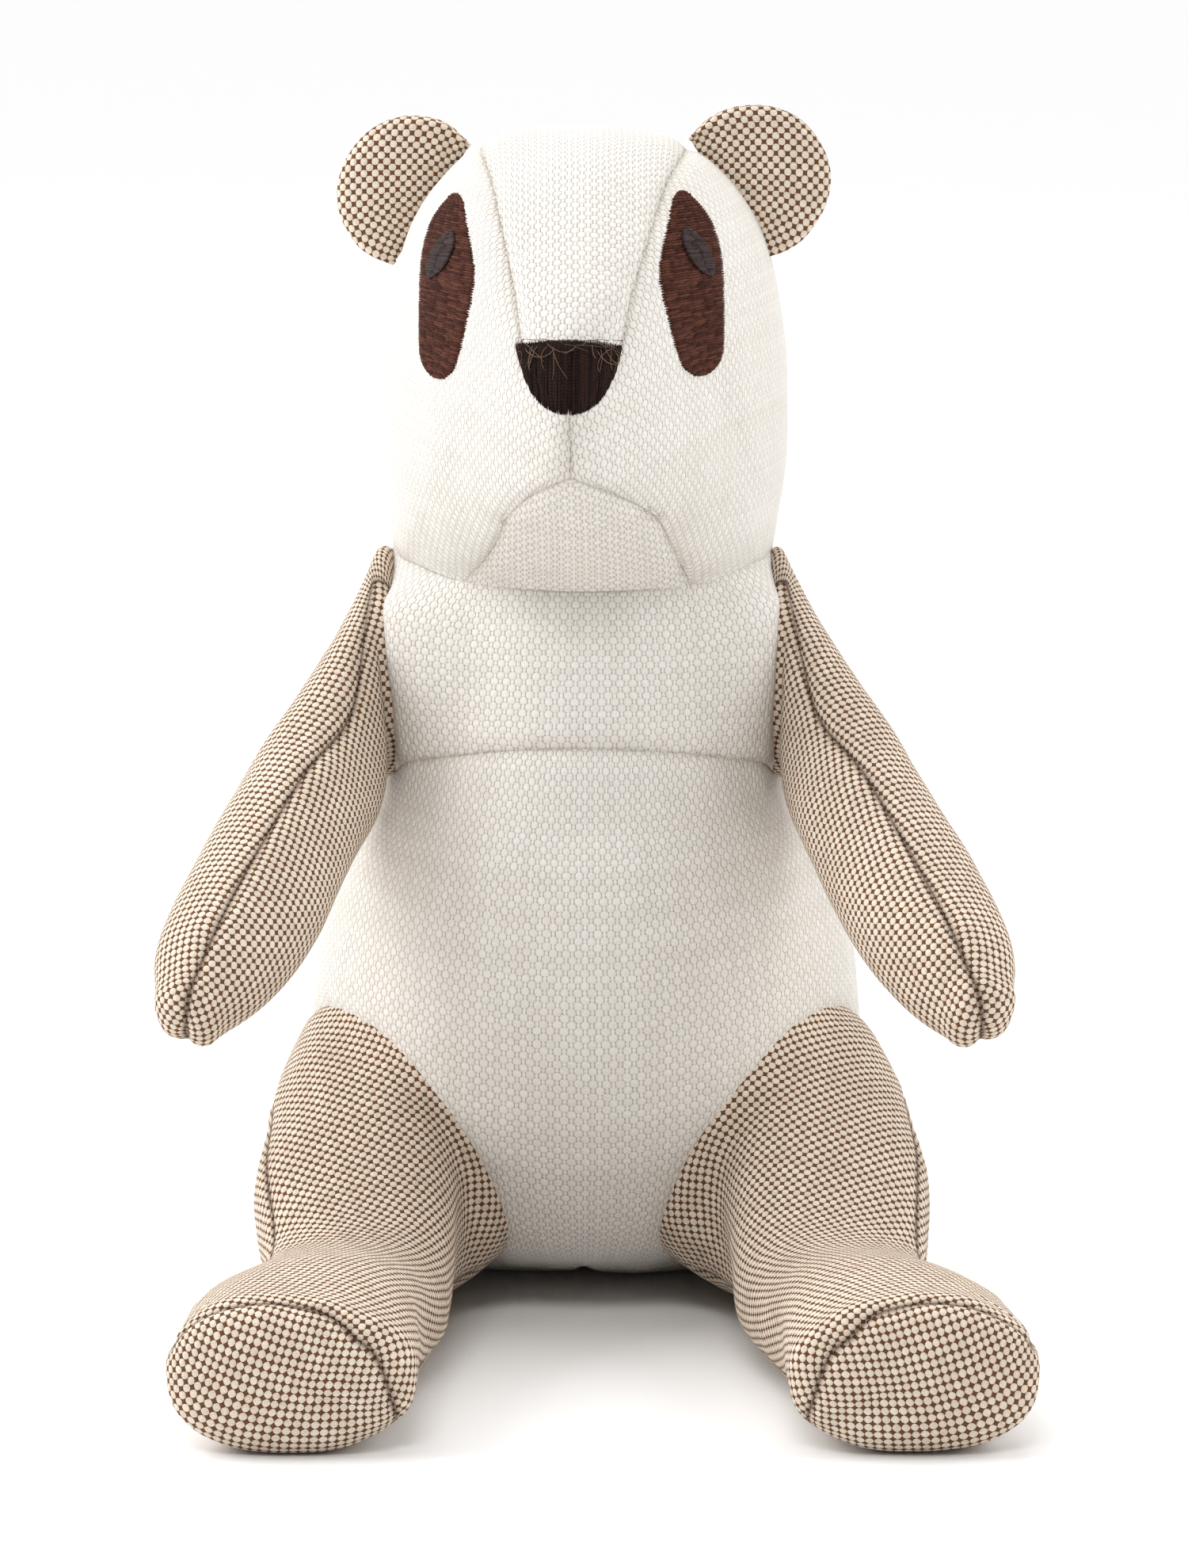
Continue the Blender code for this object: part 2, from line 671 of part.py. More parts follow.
def ear_sheet(side, face, inset, shrink, start):
    """One face of an ear: rows from the base outward, across a rounded outline."""
    middle, along, away = ear_frame(side)
    rows = []
    for k in range(EAR_ROWS + 1):
        share = math.sin(math.pi / 2 * (start + (1 - start) * k / EAR_ROWS))
        half = (EAR_HALF_WIDTH - shrink) * math.sqrt(max(0.0, 1 - share ** 2.6))
        bulge = EAR_THICK_BASE + (EAR_THICK_MIDDLE - EAR_THICK_BASE) * math.sin(math.pi / 2 * min(1, share * 2))
        row = []
        for j in range(EAR_COLUMNS + 1):
            across = 2 * j / EAR_COLUMNS - 1
            rim = max(abs(across), share) ** 3
            thick = bulge * (1 - rim) + EAR_THICK_RIM * rim - 2 * inset
            low = EAR_CLEARANCE + EAR_BASE_BOW * (1 - across ** 2) * (1 - share)
            out = low + (EAR_LENGTH - shrink) * share
            row.append(middle + along * half * across + away * out + Vector((0, face * thick / 2, 0)))
        rows.append(row)
    return sheet(rows, middle + away * EAR_LENGTH / 2 - Vector((0, face * 0.05, 0)))


def build_ear(name, side, home, stuffs):
    for label, face in (("front", -1), ("back", 1)):
        mesh = turned(ear_sheet(side, face, 0.0, 0.0, 0.0))
        obj = add_object(f"ear_{label}_{name}", mesh, stuffs["two_tone_canvas"], home)
        shell = obj.modifiers.new("cloth", "SOLIDIFY")
        shell.thickness = SKIN
        shell.offset = -1
    inset = SKIN + GAP
    wad = joined([ear_sheet(side, face, inset, WADDING_SHRINK, WADDING_START) for face in (-1, 1)])
    close_holes(wad)
    add_object("ear_wadding_" + name, turned(wad), stuffs["fibre"], home)


# ---------------------------------------------------------------- limbs

def section_ring(centre, axis, side, sizes, power, columns):
    """An oval ring about a centre: angle 0 is up, and a quarter turn is outward."""
    outward_half, inward_half, up_half, down_half = sizes
    axis = Vector(axis).normalized()
    up = (Vector((0, 0, 1)) - axis * axis.z).normalized()
    out = up.cross(axis) * side
    ring = []
    for k in range(columns):
        a = 2 * math.pi * k / columns
        s = math.copysign(abs(math.sin(a)) ** (2 / power), math.sin(a))
        c = math.copysign(abs(math.cos(a)) ** (2 / power), math.cos(a))
        across = s * (outward_half if s > 0 else inward_half)
        rise = c * (up_half if c > 0 else down_half)
        ring.append(np.array(Vector(centre) + out * across + up * rise))
    return ring


def seam_plane(point, normal, side):
    """A limb's seam plane on the toy's left (1) or right (-1)."""
    normal = Vector((side * normal[0], normal[1], normal[2])).normalized()
    return Vector((side * point[0], point[1], point[2])), normal


def columns_of(rings, first, last):
    """The part of closed rings between two column numbers."""
    count = len(rings[0])
    return [[ring[k % count] for k in range(first, last + 1)] for ring in rings]


def arm_rings(side):
    shoulder, normal = seam_plane(SHOULDER_POINT, SHOULDER_NORMAL, side)
    upright = (Vector((0, 0, 1)) - normal * normal.z).normalized()
    rearward = upright.cross(normal) * side
    long_way = upright * math.cos(SHOULDER_LEAN) + rearward * math.sin(SHOULDER_LEAN)
    short_way = rearward * math.cos(SHOULDER_LEAN) - upright * math.sin(SHOULDER_LEAN)
    root = []
    for k in range(ARM_COLUMNS):
        a = 2 * math.pi * k / ARM_COLUMNS
        place = shoulder + long_way * SHOULDER_LONG * math.cos(a) + short_way * SHOULDER_SHORT * math.sin(a)
        root.append(np.array(place))
    places = [Vector((side * p[0], p[1], p[2])) for p, *_ in ARM_SECTIONS]
    tip = Vector((side * ARM_TIP[0], ARM_TIP[1], ARM_TIP[2]))
    axes = [b - a for a, b in zip(places, places[1:] + [tip])]
    inside = [p - np.array(normal) * ROOT_OVERLAP for p in root]
    rings = [inside, root]
    for (_, outward, inward, across), place, axis in zip(ARM_SECTIONS, places, axes):
        rings.append(section_ring(place, axis, side, (outward, inward, across, across), 2.0, ARM_COLUMNS))
    rings.append([np.array(tip)] * ARM_COLUMNS)
    return spline_rows(rings, (1, 3, 2, 2, 1, 1, 3))


def build_arm(name, side, home, stuffs, cutters):
    rings = arm_rings(side)
    centre = Vector((side * ARM_SECTIONS[1][0][0], ARM_SECTIONS[1][0][1], ARM_SECTIONS[1][0][2]))
    half = ARM_COLUMNS // 2
    front_seam = -round(ARM_SEAM_TURN * ARM_COLUMNS / (2 * math.pi))
    faces = {
        "outer": sheet(columns_of(rings, front_seam, front_seam + half), centre),
        "inner": sheet(columns_of(rings, front_seam + half, front_seam + 2 * half), centre),
    }
    trims = cutters["inside_shoulder_" + name]
    add_stuffing("arm_stuffing_" + name, faces.values(), stuffs["fibre"], home, trims, LIMB_INSET)
    for label, panel in faces.items():
        add_skin(f"arm_{label}_{name}", panel, stuffs["two_tone_canvas"], home, trims, ARM_FOLD)


def leg_rings(side):
    hip, normal = seam_plane(HIP_POINT, HIP_NORMAL, side)
    up = (Vector((0, 0, 1)) - normal * normal.z).normalized()
    out = up.cross(normal) * side
    angles = [2 * math.pi * k / LEG_COLUMNS for k in range(LEG_COLUMNS)]
    root = list(TORSO.reach(hip, [up * math.cos(a) + out * math.sin(a) for a in angles]))
    inside = [p - np.array(normal) * ROOT_OVERLAP for p in root]
    rings = [inside, root]
    places = []
    for place, *_ in LEG_SECTIONS:
        shift = FEET_SHIFT * place[1] / LEG_SECTIONS[-1][0][1]
        places.append(Vector((side * place[0] + shift, place[1], place[2])))
    ahead = Vector((0, -1, 0))
    axes = [(normal + 2 * ahead).normalized()] + [ahead] * (len(places) - 1)
    for (_, outward, inward, rise, drop), place, axis in zip(LEG_SECTIONS, places, axes):
        rings.append(section_ring(place, axis, side, (outward, inward, rise, drop), LEG_POWER, LEG_COLUMNS))
    rings = spline_rows(rings, (1, 3, 3, 2, 2))
    toe = rings[-1]
    middle = np.array(places[-1])
    sole = [[middle + (p - middle) * size + np.array([0, y, 0]) for p in toe] for size, y in SOLE_RINGS]
    sole.append([middle + np.array([0, SOLE_POLE, 0])] * LEG_COLUMNS)
    for ring in rings + sole:
        for p in ring:
            p[2] = max(p[2], 0.0)
    return rings, sole


def build_leg(name, side, home, stuffs, cutters):
    rings, sole = leg_rings(side)
    centre = Vector((side * LEG_SECTIONS[1][0][0], LEG_SECTIONS[1][0][1], LEG_SECTIONS[1][0][2]))
    top = sheet(columns_of(rings, LEG_INNER_SEAM, LEG_OUTER_SEAM), centre)
    under = joined([
        sheet(columns_of(rings, LEG_OUTER_SEAM, LEG_INNER_SEAM + LEG_COLUMNS), centre),
        sheet(columns_of([rings[-1]] + sole, 0, LEG_COLUMNS), centre),
    ])
    face_away(under, centre)
    trims = cutters["inside_hip_" + name]
    add_stuffing("leg_stuffing_" + name, [top, under], stuffs["fibre"], home, trims, LIMB_INSET)
    fold = 2 * math.pi / LEG_COLUMNS
    add_skin("leg_top_" + name, top, stuffs["two_tone_canvas"], home, trims, fold)
    add_skin("leg_under_" + name, under, stuffs["two_tone_canvas"], home, trims, fold)


# ---------------------------------------------------------------- assembly

def make_cutters(home):
    half_gap = GAP / 2
    above = half_space("cutter_above_neck", NECK_POINT - NECK_NORMAL * half_gap, NECK_NORMAL, home)
    below = half_space("cutter_below_neck", NECK_POINT + NECK_NORMAL * half_gap, -NECK_NORMAL, home)
    cutters = {"above_neck": [above], "below_neck": [below], "beyond_hips": [], "armholes": []}
    for name, side in (("left", 1), ("right", -1)):
        hip, normal = seam_plane(HIP_POINT, HIP_NORMAL, side)
        cutters["beyond_hips"].append(
            half_space("cutter_beyond_hip_" + name, hip - normal * half_gap, normal, home))
        cutters["inside_hip_" + name] = [
            half_space("cutter_inside_hip_" + name, hip + normal * half_gap, -normal, home)]
        shoulder, out = seam_plane(SHOULDER_POINT, SHOULDER_NORMAL, side)
        cutters["inside_shoulder_" + name] = [
            half_space("cutter_inside_shoulder_" + name, shoulder + out * half_gap, -out, home)]
        bpy.ops.mesh.primitive_cylinder_add(
            vertices=32, radius=SHOULDER_RECESS, depth=0.04, location=shoulder + out * (0.02 - half_gap),
            rotation=out.to_track_quat("Z", "Y").to_euler())
        cutters["armholes"].append(as_cutter(bpy.context.object, "cutter_armhole_" + name, home))
    bpy.ops.mesh.primitive_cylinder_add(
        vertices=24, radius=PELLET_RADIUS + GAP, depth=0.05, location=(0, PELLET_Y, PELLET_TOP + GAP - 0.025))
    cutters["pellet_recess"] = [as_cutter(bpy.context.object, "cutter_pellet_recess", home)]
    return cutters


def make_materials():
    return {
        "white_canvas": material("white_canvas", (0.80, 0.77, 0.72), 0.9),
        "two_tone_canvas": material("two_tone_canvas", (0.62, 0.50, 0.39), 0.9),
        "brown_thread": material("brown_thread", (0.085, 0.030, 0.022), 0.55),
        "grey_thread": material("grey_thread", (0.045, 0.036, 0.038), 0.55),
        "black_thread": material("black_thread", (0.013, 0.008, 0.006), 0.5),
        "fibre": material("fibre", (0.86, 0.86, 0.85), 1.0),
        "bag_cloth": material("bag_cloth", (0.74, 0.72, 0.68), 0.9),
    }


def give_own_materials(home):
    """Each sub-part has a material of its own, named after it."""
    for obj in home.objects:
        own = obj.data.materials[0].copy()
        own.name = obj.name
        obj.data.materials[0] = own


def main():
    clear_scene()
    parts = collection("plush_panda")
    tools = collection("cutters")
    cutters = make_cutters(tools)
    stuffs = make_materials()
    build_torso(parts, stuffs, cutters)
    build_head(parts, stuffs, cutters)
    for name, side in (("left", 1), ("right", -1)):
        build_arm(name, side, parts, stuffs, cutters)
        build_leg(name, side, parts, stuffs, cutters)
    give_own_materials(parts)
    for obj in list(parts.objects) + list(tools.objects):
        obj.location.y += DEPTH_SHIFT


main()
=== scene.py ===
"""The looks of the plush panda: canvas panels, seams, embroidery, light and camera."""

import json
import math

import bmesh
import bpy
import numpy as np
from mathutils import Matrix, Vector, noise
from mathutils.bvhtree import BVHTree
from mathutils.kdtree import KDTree


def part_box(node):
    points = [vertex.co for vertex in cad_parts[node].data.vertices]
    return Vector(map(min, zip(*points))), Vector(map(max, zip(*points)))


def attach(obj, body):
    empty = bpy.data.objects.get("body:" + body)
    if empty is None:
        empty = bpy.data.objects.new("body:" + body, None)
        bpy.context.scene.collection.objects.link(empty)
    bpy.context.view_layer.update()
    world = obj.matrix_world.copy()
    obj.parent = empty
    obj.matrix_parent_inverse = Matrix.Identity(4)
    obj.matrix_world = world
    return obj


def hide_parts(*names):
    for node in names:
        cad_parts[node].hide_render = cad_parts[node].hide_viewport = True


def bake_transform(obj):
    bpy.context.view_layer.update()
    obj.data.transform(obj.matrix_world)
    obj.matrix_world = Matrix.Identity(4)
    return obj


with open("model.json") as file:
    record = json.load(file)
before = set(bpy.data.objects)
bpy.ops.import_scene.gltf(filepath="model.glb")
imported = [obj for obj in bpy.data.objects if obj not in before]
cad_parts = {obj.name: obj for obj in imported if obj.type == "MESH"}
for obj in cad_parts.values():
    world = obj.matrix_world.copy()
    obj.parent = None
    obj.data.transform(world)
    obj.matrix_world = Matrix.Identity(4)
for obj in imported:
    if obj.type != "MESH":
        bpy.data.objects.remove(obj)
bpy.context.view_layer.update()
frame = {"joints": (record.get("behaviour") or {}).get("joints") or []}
JOINTS = {j["name"]: j for j in frame["joints"]}

# ---- sizes, in metres

NECK = Vector(JOINTS["neck_turn"]["pos_m"])
NECK_NORMAL = Vector(JOINTS["neck_turn"]["axis"])
# The forms below are written about the torso's own middle line
DEPTH = NECK.y + 0.005
SHIFT = Vector((0.0, DEPTH, 0.0))
NECK_LOCAL = NECK - SHIFT
MM = 0.001
UP = (0.0, 0.0, 1.0)
SIDES = (("left", 1), ("right", -1))     # the toy's own left is +X

# Level sections in millimetres: height, half width, front, back
TORSO_LEVELS = (
    (0, 34, -8, 22), (2, 42, -18, 28), (6, 47, -31, 33), (13, 52, -47, 38), (23, 55, -58, 42),
    (45, 57.2, -67, 45), (64, 56, -68, 45), (85, 52, -65, 43), (100, 46.5, -61, 41), (118, 41.2, -55, 38),
    (135, 39, -50, 36), (150, 38.8, -46, 35), (168, 38.8, -45, 35),
)
TORSO_MIDDLE = -0.005
CHEST_SEAM_MIDDLE = 0.1185
CHEST_SEAM_DROP = 0.0100
BELLY_EDGE = 0.0060
NECK_COLLAR = ((0.0010, 0.0006), (0.0020, 0.0020), (0.009, 0.0024))   # inward and up, hidden in the head

# The same, then the middle line and the power that shapes the front half
HEAD_LEVELS = (
    (142, 38.5, -44, 34.5, -5, 2.1), (149, 38.8, -46.5, 35, -5, 2.05), (156, 39.2, -57, 35.5, -5, 1.95),
    (166, 40.3, -71, 37, -5, 1.72), (176, 41.1, -80, 38.5, -5, 1.52), (188, 41.2, -84.5, 39.2, -5, 1.45),
    (199, 40, -83.8, 38.8, -5, 1.5), (208, 38.4, -79, 36.8, -6, 1.62), (216, 36.2, -70.5, 33, -7, 1.75),
    (224, 31.8, -60, 27, -9, 1.88), (230.5, 26.2, -50, 18.5, -12, 1.97), (235, 20.3, -41.5, 9, -14, 2),
    (238, 12.5, -30.5, -3, -16, 2), (239.2, 4, -22, -13, -17.5, 2),
)
HEAD_CENTRE = Vector((0.0, -0.010, 0.190))
HEAD_TURN = Matrix.Rotation(math.radians(-2.0), 4, NECK_NORMAL)
HEAD_SPIN = Matrix.Translation(NECK_LOCAL) @ HEAD_TURN @ Matrix.Translation(-NECK_LOCAL)
NECK_RADIUS = 0.040
CHIN_HALF_WIDTH = 0.0225
MOUTH_CORNER = (0.0168, 0.1660)
MOUTH_MIDDLE = 0.1757
MOUTH_SKEW = 0.0036              # the right mouth corner sits this much nearer the middle
NOSE_FOOT = 0.1885
NOSE_SIDE = ((0.0, 0.1885), (0.0070, 0.1960), (0.0100, 0.2020))
CROWN_HALF_WIDTH = ((9.5, 0.0100), (45.0, 0.0175), (80.0, 0.0225), (130.0, 0.0215), (205.0, 0.0140))
CHEEK_RAY = (0.040, -0.040, -0.004)

SHOULDER_LONG = 0.0238
SHOULDER_SHORT = 0.0216
SHOULDER_LEAN = math.radians(20.0)
ARMHOLE_RISE = {1: 0.0046, -1: 0.0064}   # how far its upper front stands off the seam plane
ARMHOLE_GAP = 0.0006             # the torso stays this far inside the arm's seam
ARMHOLE_REACH = 1.6              # the torso is drawn to the armhole within this many of its radii
HIP_GAP = 0.0004
ARM_SECTIONS = (
    ((0.0505, -0.040, 0.1150), 0.0094, 0.0112, 0.0160), ((0.0578, -0.058, 0.1042), 0.0118, 0.0143, 0.0155),
    ((0.0655, -0.080, 0.0905), 0.0138, 0.0138, 0.0146), ((0.0712, -0.096, 0.0815), 0.0130, 0.0102, 0.0122),
    ((0.0745, -0.1045, 0.0765), 0.0094, 0.0060, 0.0082),
)
ARM_TIP = (0.0765, -0.1093, 0.0737)
ARM_SWELL = {1: 0.0004, -1: 0.0012}
ARM_SEAM = 18.0                  # how far the front seam lies inside the top, in degrees
ARM_SEAM_SHIFT = (42.0, 26.0, 8.0, 0.0, 0.0, 0.0)   # degrees more, from the shoulder to the hand

LEG_SECTIONS = (
    ((0.0465, -0.055, 0.0235), 0.0212, 0.0222, 0.0245, 0.0235, 2.6),
    ((0.0445, -0.088, 0.0150), 0.0205, 0.0170, 0.0142, 0.0150, 2.35),
    ((0.0515, -0.118, 0.0152), 0.0242, 0.0196, 0.0146, 0.0152, 2.45),
    ((0.0557, -0.143, 0.0152), 0.0240, 0.0230, 0.0140, 0.0152, 2.45),
)
LEG_GRAIN = math.radians(20.0)
LEG_SEAM = 72.0                  # the outer seam, in degrees from the top
LEG_SEAM_SHIFT = (20.0, 18.0, 8.0, 0.0, 0.0)   # degrees, from the hip to the toes
INNER_SEAM = 126.0               # the other way round
HAUNCH_ANGLE = 0.85              # where the thigh is fullest, in radians from the top
HAUNCH_SWELL = 0.0030
TOE_SEAM = ((-126, 1.0), (-104, 2.0), (-75, 2.35), (-43, 2.37), (-11, 1.55), (15, 0.9), (72, 0.9))
SOLE_SIZES = (1.0, 0.985, 0.80, 0.45, 0.0)
SOLE_DEPTHS = (0.0, -0.0045, -0.0082, -0.0098, -0.0102)
FEET_SHIFT = {1: 0.0056, -1: 0.0016}     # how far each foot points to the toy's left

EAR_BASE_TOP = (0.0212, -0.006, 0.2342)
EAR_BASE_LOW = (0.0372, -0.006, 0.2092)
EAR_LENGTH = {1: 0.0240, -1: 0.0214}
EAR_CENTRE = {1: -0.0019, -1: 0.0003}   # along the chord, from its middle
EAR_HALF_WIDTH = 0.0160
EAR_THICK = (0.0030, 0.0070)             # at the base and in the middle
EAR_START = 0.0016
EAR_SHIFT = -0.00075
EAR_POWER = 0.88                         # below 1 the rim is rounder than an ellipse

SKIN = 0.0009
THIN_SKIN = 0.4 * SKIN                   # on the ears and arms, whose edges are sharp
SEAM_WIDTH = 0.0013
CALM_CORNER = 0.004                      # puckers die away this near a corner of the seams
WELD = 0.00001
FLOOR_GAP = 0.0002
FLAT_TRIANGLE = 1e-18                    # a face this thin says nothing about the grain
# Pressure in the cloth and its stiffness, chosen by trial for a firm canvas
CLOTH_FRAMES = 20
EVENING_TURNS = 5
LEG_FADE, ARM_FADE = 0.006, 0.008        # the stuffing moves a limb in full from this far out
CLOTH = dict(quality=6, mass=0.25, tension_stiffness=12, compression_stiffness=12, shear_stiffness=6,
             bending_stiffness=0.4, tension_damping=8, compression_damping=8, shrink_min=-0.035,
             use_pressure=True, uniform_pressure_force=4, vertex_group_mass="pins")


# ---- curves and forms

def hermite(t, a, b, leave, arrive):
    """The cubic from a to b that has these slopes at its ends."""
    return (a * (1 + 2 * t) * (1 - t) ** 2 + b * t * t * (3 - 2 * t)
            + leave * t * (1 - t) ** 2 - arrive * t * t * (1 - t))


def smooth_through(knots, values, at):
    """Cubic interpolation through the points, without overshoot between them."""
    x, y = np.asarray(knots, float), np.asarray(values, float)
    at = np.clip(np.asarray(at, float), x[0], x[-1])
    step = np.diff(x)
    slope = np.diff(y) / step
    tangent = np.concatenate([slope[:1], slope])
    product, total = slope[:-1] * slope[1:], slope[:-1] + slope[1:]
    total = np.where(np.abs(total) < 1e-12, 1.0, total)
    tangent[1:-1] = np.where(product > 0, 2 * product / total, 0.0)
    k = np.clip(np.searchsorted(x, at, side="right") - 1, 0, len(step) - 1)
    return hermite((at - x[k]) / step[k], y[k], y[k + 1], step[k] * tangent[k], step[k] * tangent[k + 1])


def spline_rows(rows, steps):
    """Rings of points between the given rings, on one cubic per column."""
    rings = [np.array(row) for row in rows]
    out = []
    for k, (a, b) in enumerate(zip(rings, rings[1:])):
        before, after = rings[max(k - 1, 0)], rings[min(k + 2, len(rings) - 1)]
        leave = (b - before) / (2 if k > 0 else 1)
        arrive = (after - a) / (2 if k < len(rings) - 2 else 1)
        out += [hermite(i / steps[k], a, b, leave, arrive) for i in range(steps[k])]
    return out + [rings[-1]]


def bulged(value, power):
    """A sine or cosine raised to a power that keeps its sign, which squares or points an oval."""
    return math.copysign(abs(value) ** power, value)


class Form:
    """A closed body given by its level sections, each an oval about a middle line."""

    def __init__(self, levels, middle=None):
        table = np.array(levels)
        self.height, self.width, self.front, self.back = table[:, :4].T * MM
        self.middle = np.full(len(table), middle) if middle else table[:, 4] * MM
        self.power = np.full(len(table), 2.0) if middle else table[:, 5]

    def section(self, z, towards_front):
        rows = (self.width, self.middle, self.front, self.back, self.power)
        width, middle, front, back, power = (smooth_through(self.height, row, z) for row in rows)
        depth = np.where(towards_front, middle - front, back - middle)
        return width, middle, depth, np.where(towards_front, power, 2.0)

    def point(self, angle, z):
        across, along = math.sin(angle), math.cos(angle)
        width, middle, depth, power = self.section(z, along > 0)
        return np.array([width * bulged(across, 2 / power), middle - depth * bulged(along, 2 / power), z])

    def front_point(self, x, z):
        width, middle, depth, power = self.section(z, True)
        return np.array([x, middle - depth * (1 - abs(x / width) ** power) ** (1 / power), z])

    def outside(self, points):
        z = points[:, 2]
        middle = smooth_through(self.height, self.middle, z)
        width, middle, depth, power = self.section(z, points[:, 1] < middle)
        level = np.abs(points[:, 0] / width) ** power + np.abs((points[:, 1] - middle) / depth) ** power
        return (level > 1) | (z < self.height[0]) | (z > self.height[-1])

    def reach(self, origin, directions):
        """Where rays from a point inside leave the body."""
        origin, rays = np.array(origin, float), np.array(directions, float)
        rays = rays / np.linalg.norm(rays, axis=1)[:, None]
        near, far = np.zeros(len(rays)), np.full(len(rays), 0.2)
        for _ in range(30):
            half = (near + far) / 2
            out = self.outside(origin + rays * half[:, None])
            far, near = np.where(out, half, far), np.where(out, near, half)
        return origin + rays * near[:, None]


TORSO = Form(TORSO_LEVELS, TORSO_MIDDLE)
HEAD = Form(HEAD_LEVELS)


# ---- building the stuffed bodies

def surface(grid, closed, panel_of):
    """Points, quads and each quad's panel, from rows of points."""
    grid = np.asarray(grid, float)
    rows, columns = grid.shape[:2]
    faces, panels = [], []
    for i in range(rows - 1):
        for j in range(columns if closed else columns - 1):
            k = (j + 1) % columns
            faces.append((i * columns + j, i * columns + k, (i + 1) * columns + k, (i + 1) * columns + j))
            panels.append(panel_of(i, j))
    return grid.reshape(-1, 3), faces, panels


def set_all(target, **settings):
    for key, value in settings.items():
        setattr(target, key, value)
    return target


def add_object(name, data):
    obj = bpy.data.objects.new(name, data)
    bpy.context.scene.collection.objects.link(obj)
    return obj


def as_object(name, mesh):
    """An object made of a bmesh, which is used up."""
    data = bpy.data.meshes.new(name)
    mesh.to_mesh(data)
    mesh.free()
    return add_object(name, data)


def opened(data):
    mesh = bmesh.new()
    mesh.from_mesh(data)
    return mesh


def applied(obj, kind, **settings):
    """Gives the object the mesh that a modifier makes of it."""
    set_all(obj.modifiers.new(kind, kind), **settings)
    graph = bpy.context.evaluated_depsgraph_get()
    made = bpy.data.meshes.new_from_object(obj.evaluated_get(graph))
    obj.modifiers.clear()
    old, obj.data = obj.data, made
    bpy.data.meshes.remove(old)


def oriented(mesh, centre):
    """Turns the faces outward and marks the edges between panels as seams."""
    bmesh.ops.recalc_face_normals(mesh, faces=mesh.faces)
    mesh.normal_update()
    if sum(f.normal.dot(f.calc_center_median() - centre) * f.calc_area() for f in mesh.faces) < 0:
        bmesh.ops.reverse_faces(mesh, faces=mesh.faces)
    layer = mesh.faces.layers.int["panel"]
    for edge in mesh.edges:
        edge.smooth = True
        edge.seam = len({f[layer] for f in edge.link_faces}) > 1


def welded(name, surfaces, centre):
    """One mesh of all the surfaces, with the panel number of every face."""
    mesh = bmesh.new()
    layer = mesh.faces.layers.int.new("panel")
    for points, faces, panels in surfaces:
        verts = [mesh.verts.new(p) for p in points]
        for face, panel in zip(faces, panels):
            mesh.faces.new([verts[k] for k in face])[layer] = panel
    bmesh.ops.remove_doubles(mesh, verts=mesh.verts, dist=WELD)
    bmesh.ops.dissolve_degenerate(mesh, edges=mesh.edges, dist=WELD)
    oriented(mesh, centre)
    return as_object(name, mesh)


def coordinates(data, source="vertices", key="co"):
    values = np.empty(len(data.vertices) * 3, np.float32)
    getattr(data, source).foreach_get(key, values)
    return values.reshape(-1, 3).astype(float)


def set_coordinates(data, co):
    data.vertices.foreach_set("co", np.ascontiguousarray(co, np.float32).reshape(-1))
    data.update()


def unwrapped(obj, grains, turn=0.0):
    """Lays every panel flat in metres along the grain given for it; the first may be turned from it."""
    obj.data.uv_layers.new(name="weave")
    bpy.ops.object.select_all(action="DESELECT")
    obj.select_set(True)
    bpy.context.view_layer.objects.active = obj
    bpy.ops.object.mode_set(mode="EDIT")
    bpy.ops.mesh.select_all(action="SELECT")
    bpy.ops.uv.unwrap(method="MINIMUM_STRETCH", fill_holes=True, correct_aspect=False, margin=0.0)
    bpy.ops.object.mode_set(mode="OBJECT")
    mesh = opened(obj.data)
    uv = mesh.loops.layers.uv["weave"]
    layer = mesh.faces.layers.int["panel"]
    for panel, grain in enumerate(grains):
        faces = [f for f in mesh.faces if f[layer] == panel]
        flat_area = real_area = 0.0
        heading = 0j
        for f in faces:
            a, b, c = f.loops[0], f.loops[1], f.loops[2]
            p, q = b.vert.co - a.vert.co, c.vert.co - a.vert.co
            s, t = b[uv].uv - a[uv].uv, c[uv].uv - a[uv].uv
            flat_area += abs(s.x * t.y - s.y * t.x) / 2
            area = p.cross(q).length / 2
            real_area += area
            along = Vector(grain)
            along -= f.normal * along.dot(f.normal)
            gram = np.array([[p.dot(p), p.dot(q)], [p.dot(q), q.dot(q)]])
            if abs(np.linalg.det(gram)) >= FLAT_TRIANGLE:
                x, y = np.linalg.solve(gram, [p.dot(along), q.dot(along)])
                heading += complex(s.x * x + t.x * y, s.y * x + t.y * y) * area
        spin = np.exp(1j * (math.pi / 2 + turn * (panel == 0))) / (heading / abs(heading))
        spin *= math.sqrt(real_area / flat_area)
        for f in faces:
            for loop in f.loops:
                place = complex(*loop[uv].uv) * spin
                loop[uv].uv = (place.real, place.imag)
    mesh.to_mesh(obj.data)
    mesh.free()


def armhole(label, side, co):
    """For places near a shoulder: their distance out from the seam and from its middle, and its normal."""
    point, normal, long_way, short_way = shoulder_frame(label, side)
    a, b = (co - point) @ long_way / SHOULDER_LONG, (co - point) @ short_way / SHOULDER_SHORT
    around = np.hypot(a, b)
    rise = armhole_rise(np.arctan2(b, a), side) * np.minimum(around, 1.0) ** 2
    return (co - point) @ normal - rise, around, normal


def root_fade(name, co):
    """0 at a limb's seam on the torso, 1 from a few millimetres beyond it."""
    kind, _, label = name.partition("_")
    if kind == "leg":
        point, normal = joint_plane("hip_" + label, dict(SIDES)[label])
        return np.clip((co - np.array(point)) @ np.array(normal) / LEG_FADE, 0, 1)
    if kind == "arm":
        return np.clip(armhole(label, dict(SIDES)[label], co)[0] / ARM_FADE, 0, 1)
    return np.ones(len(co))


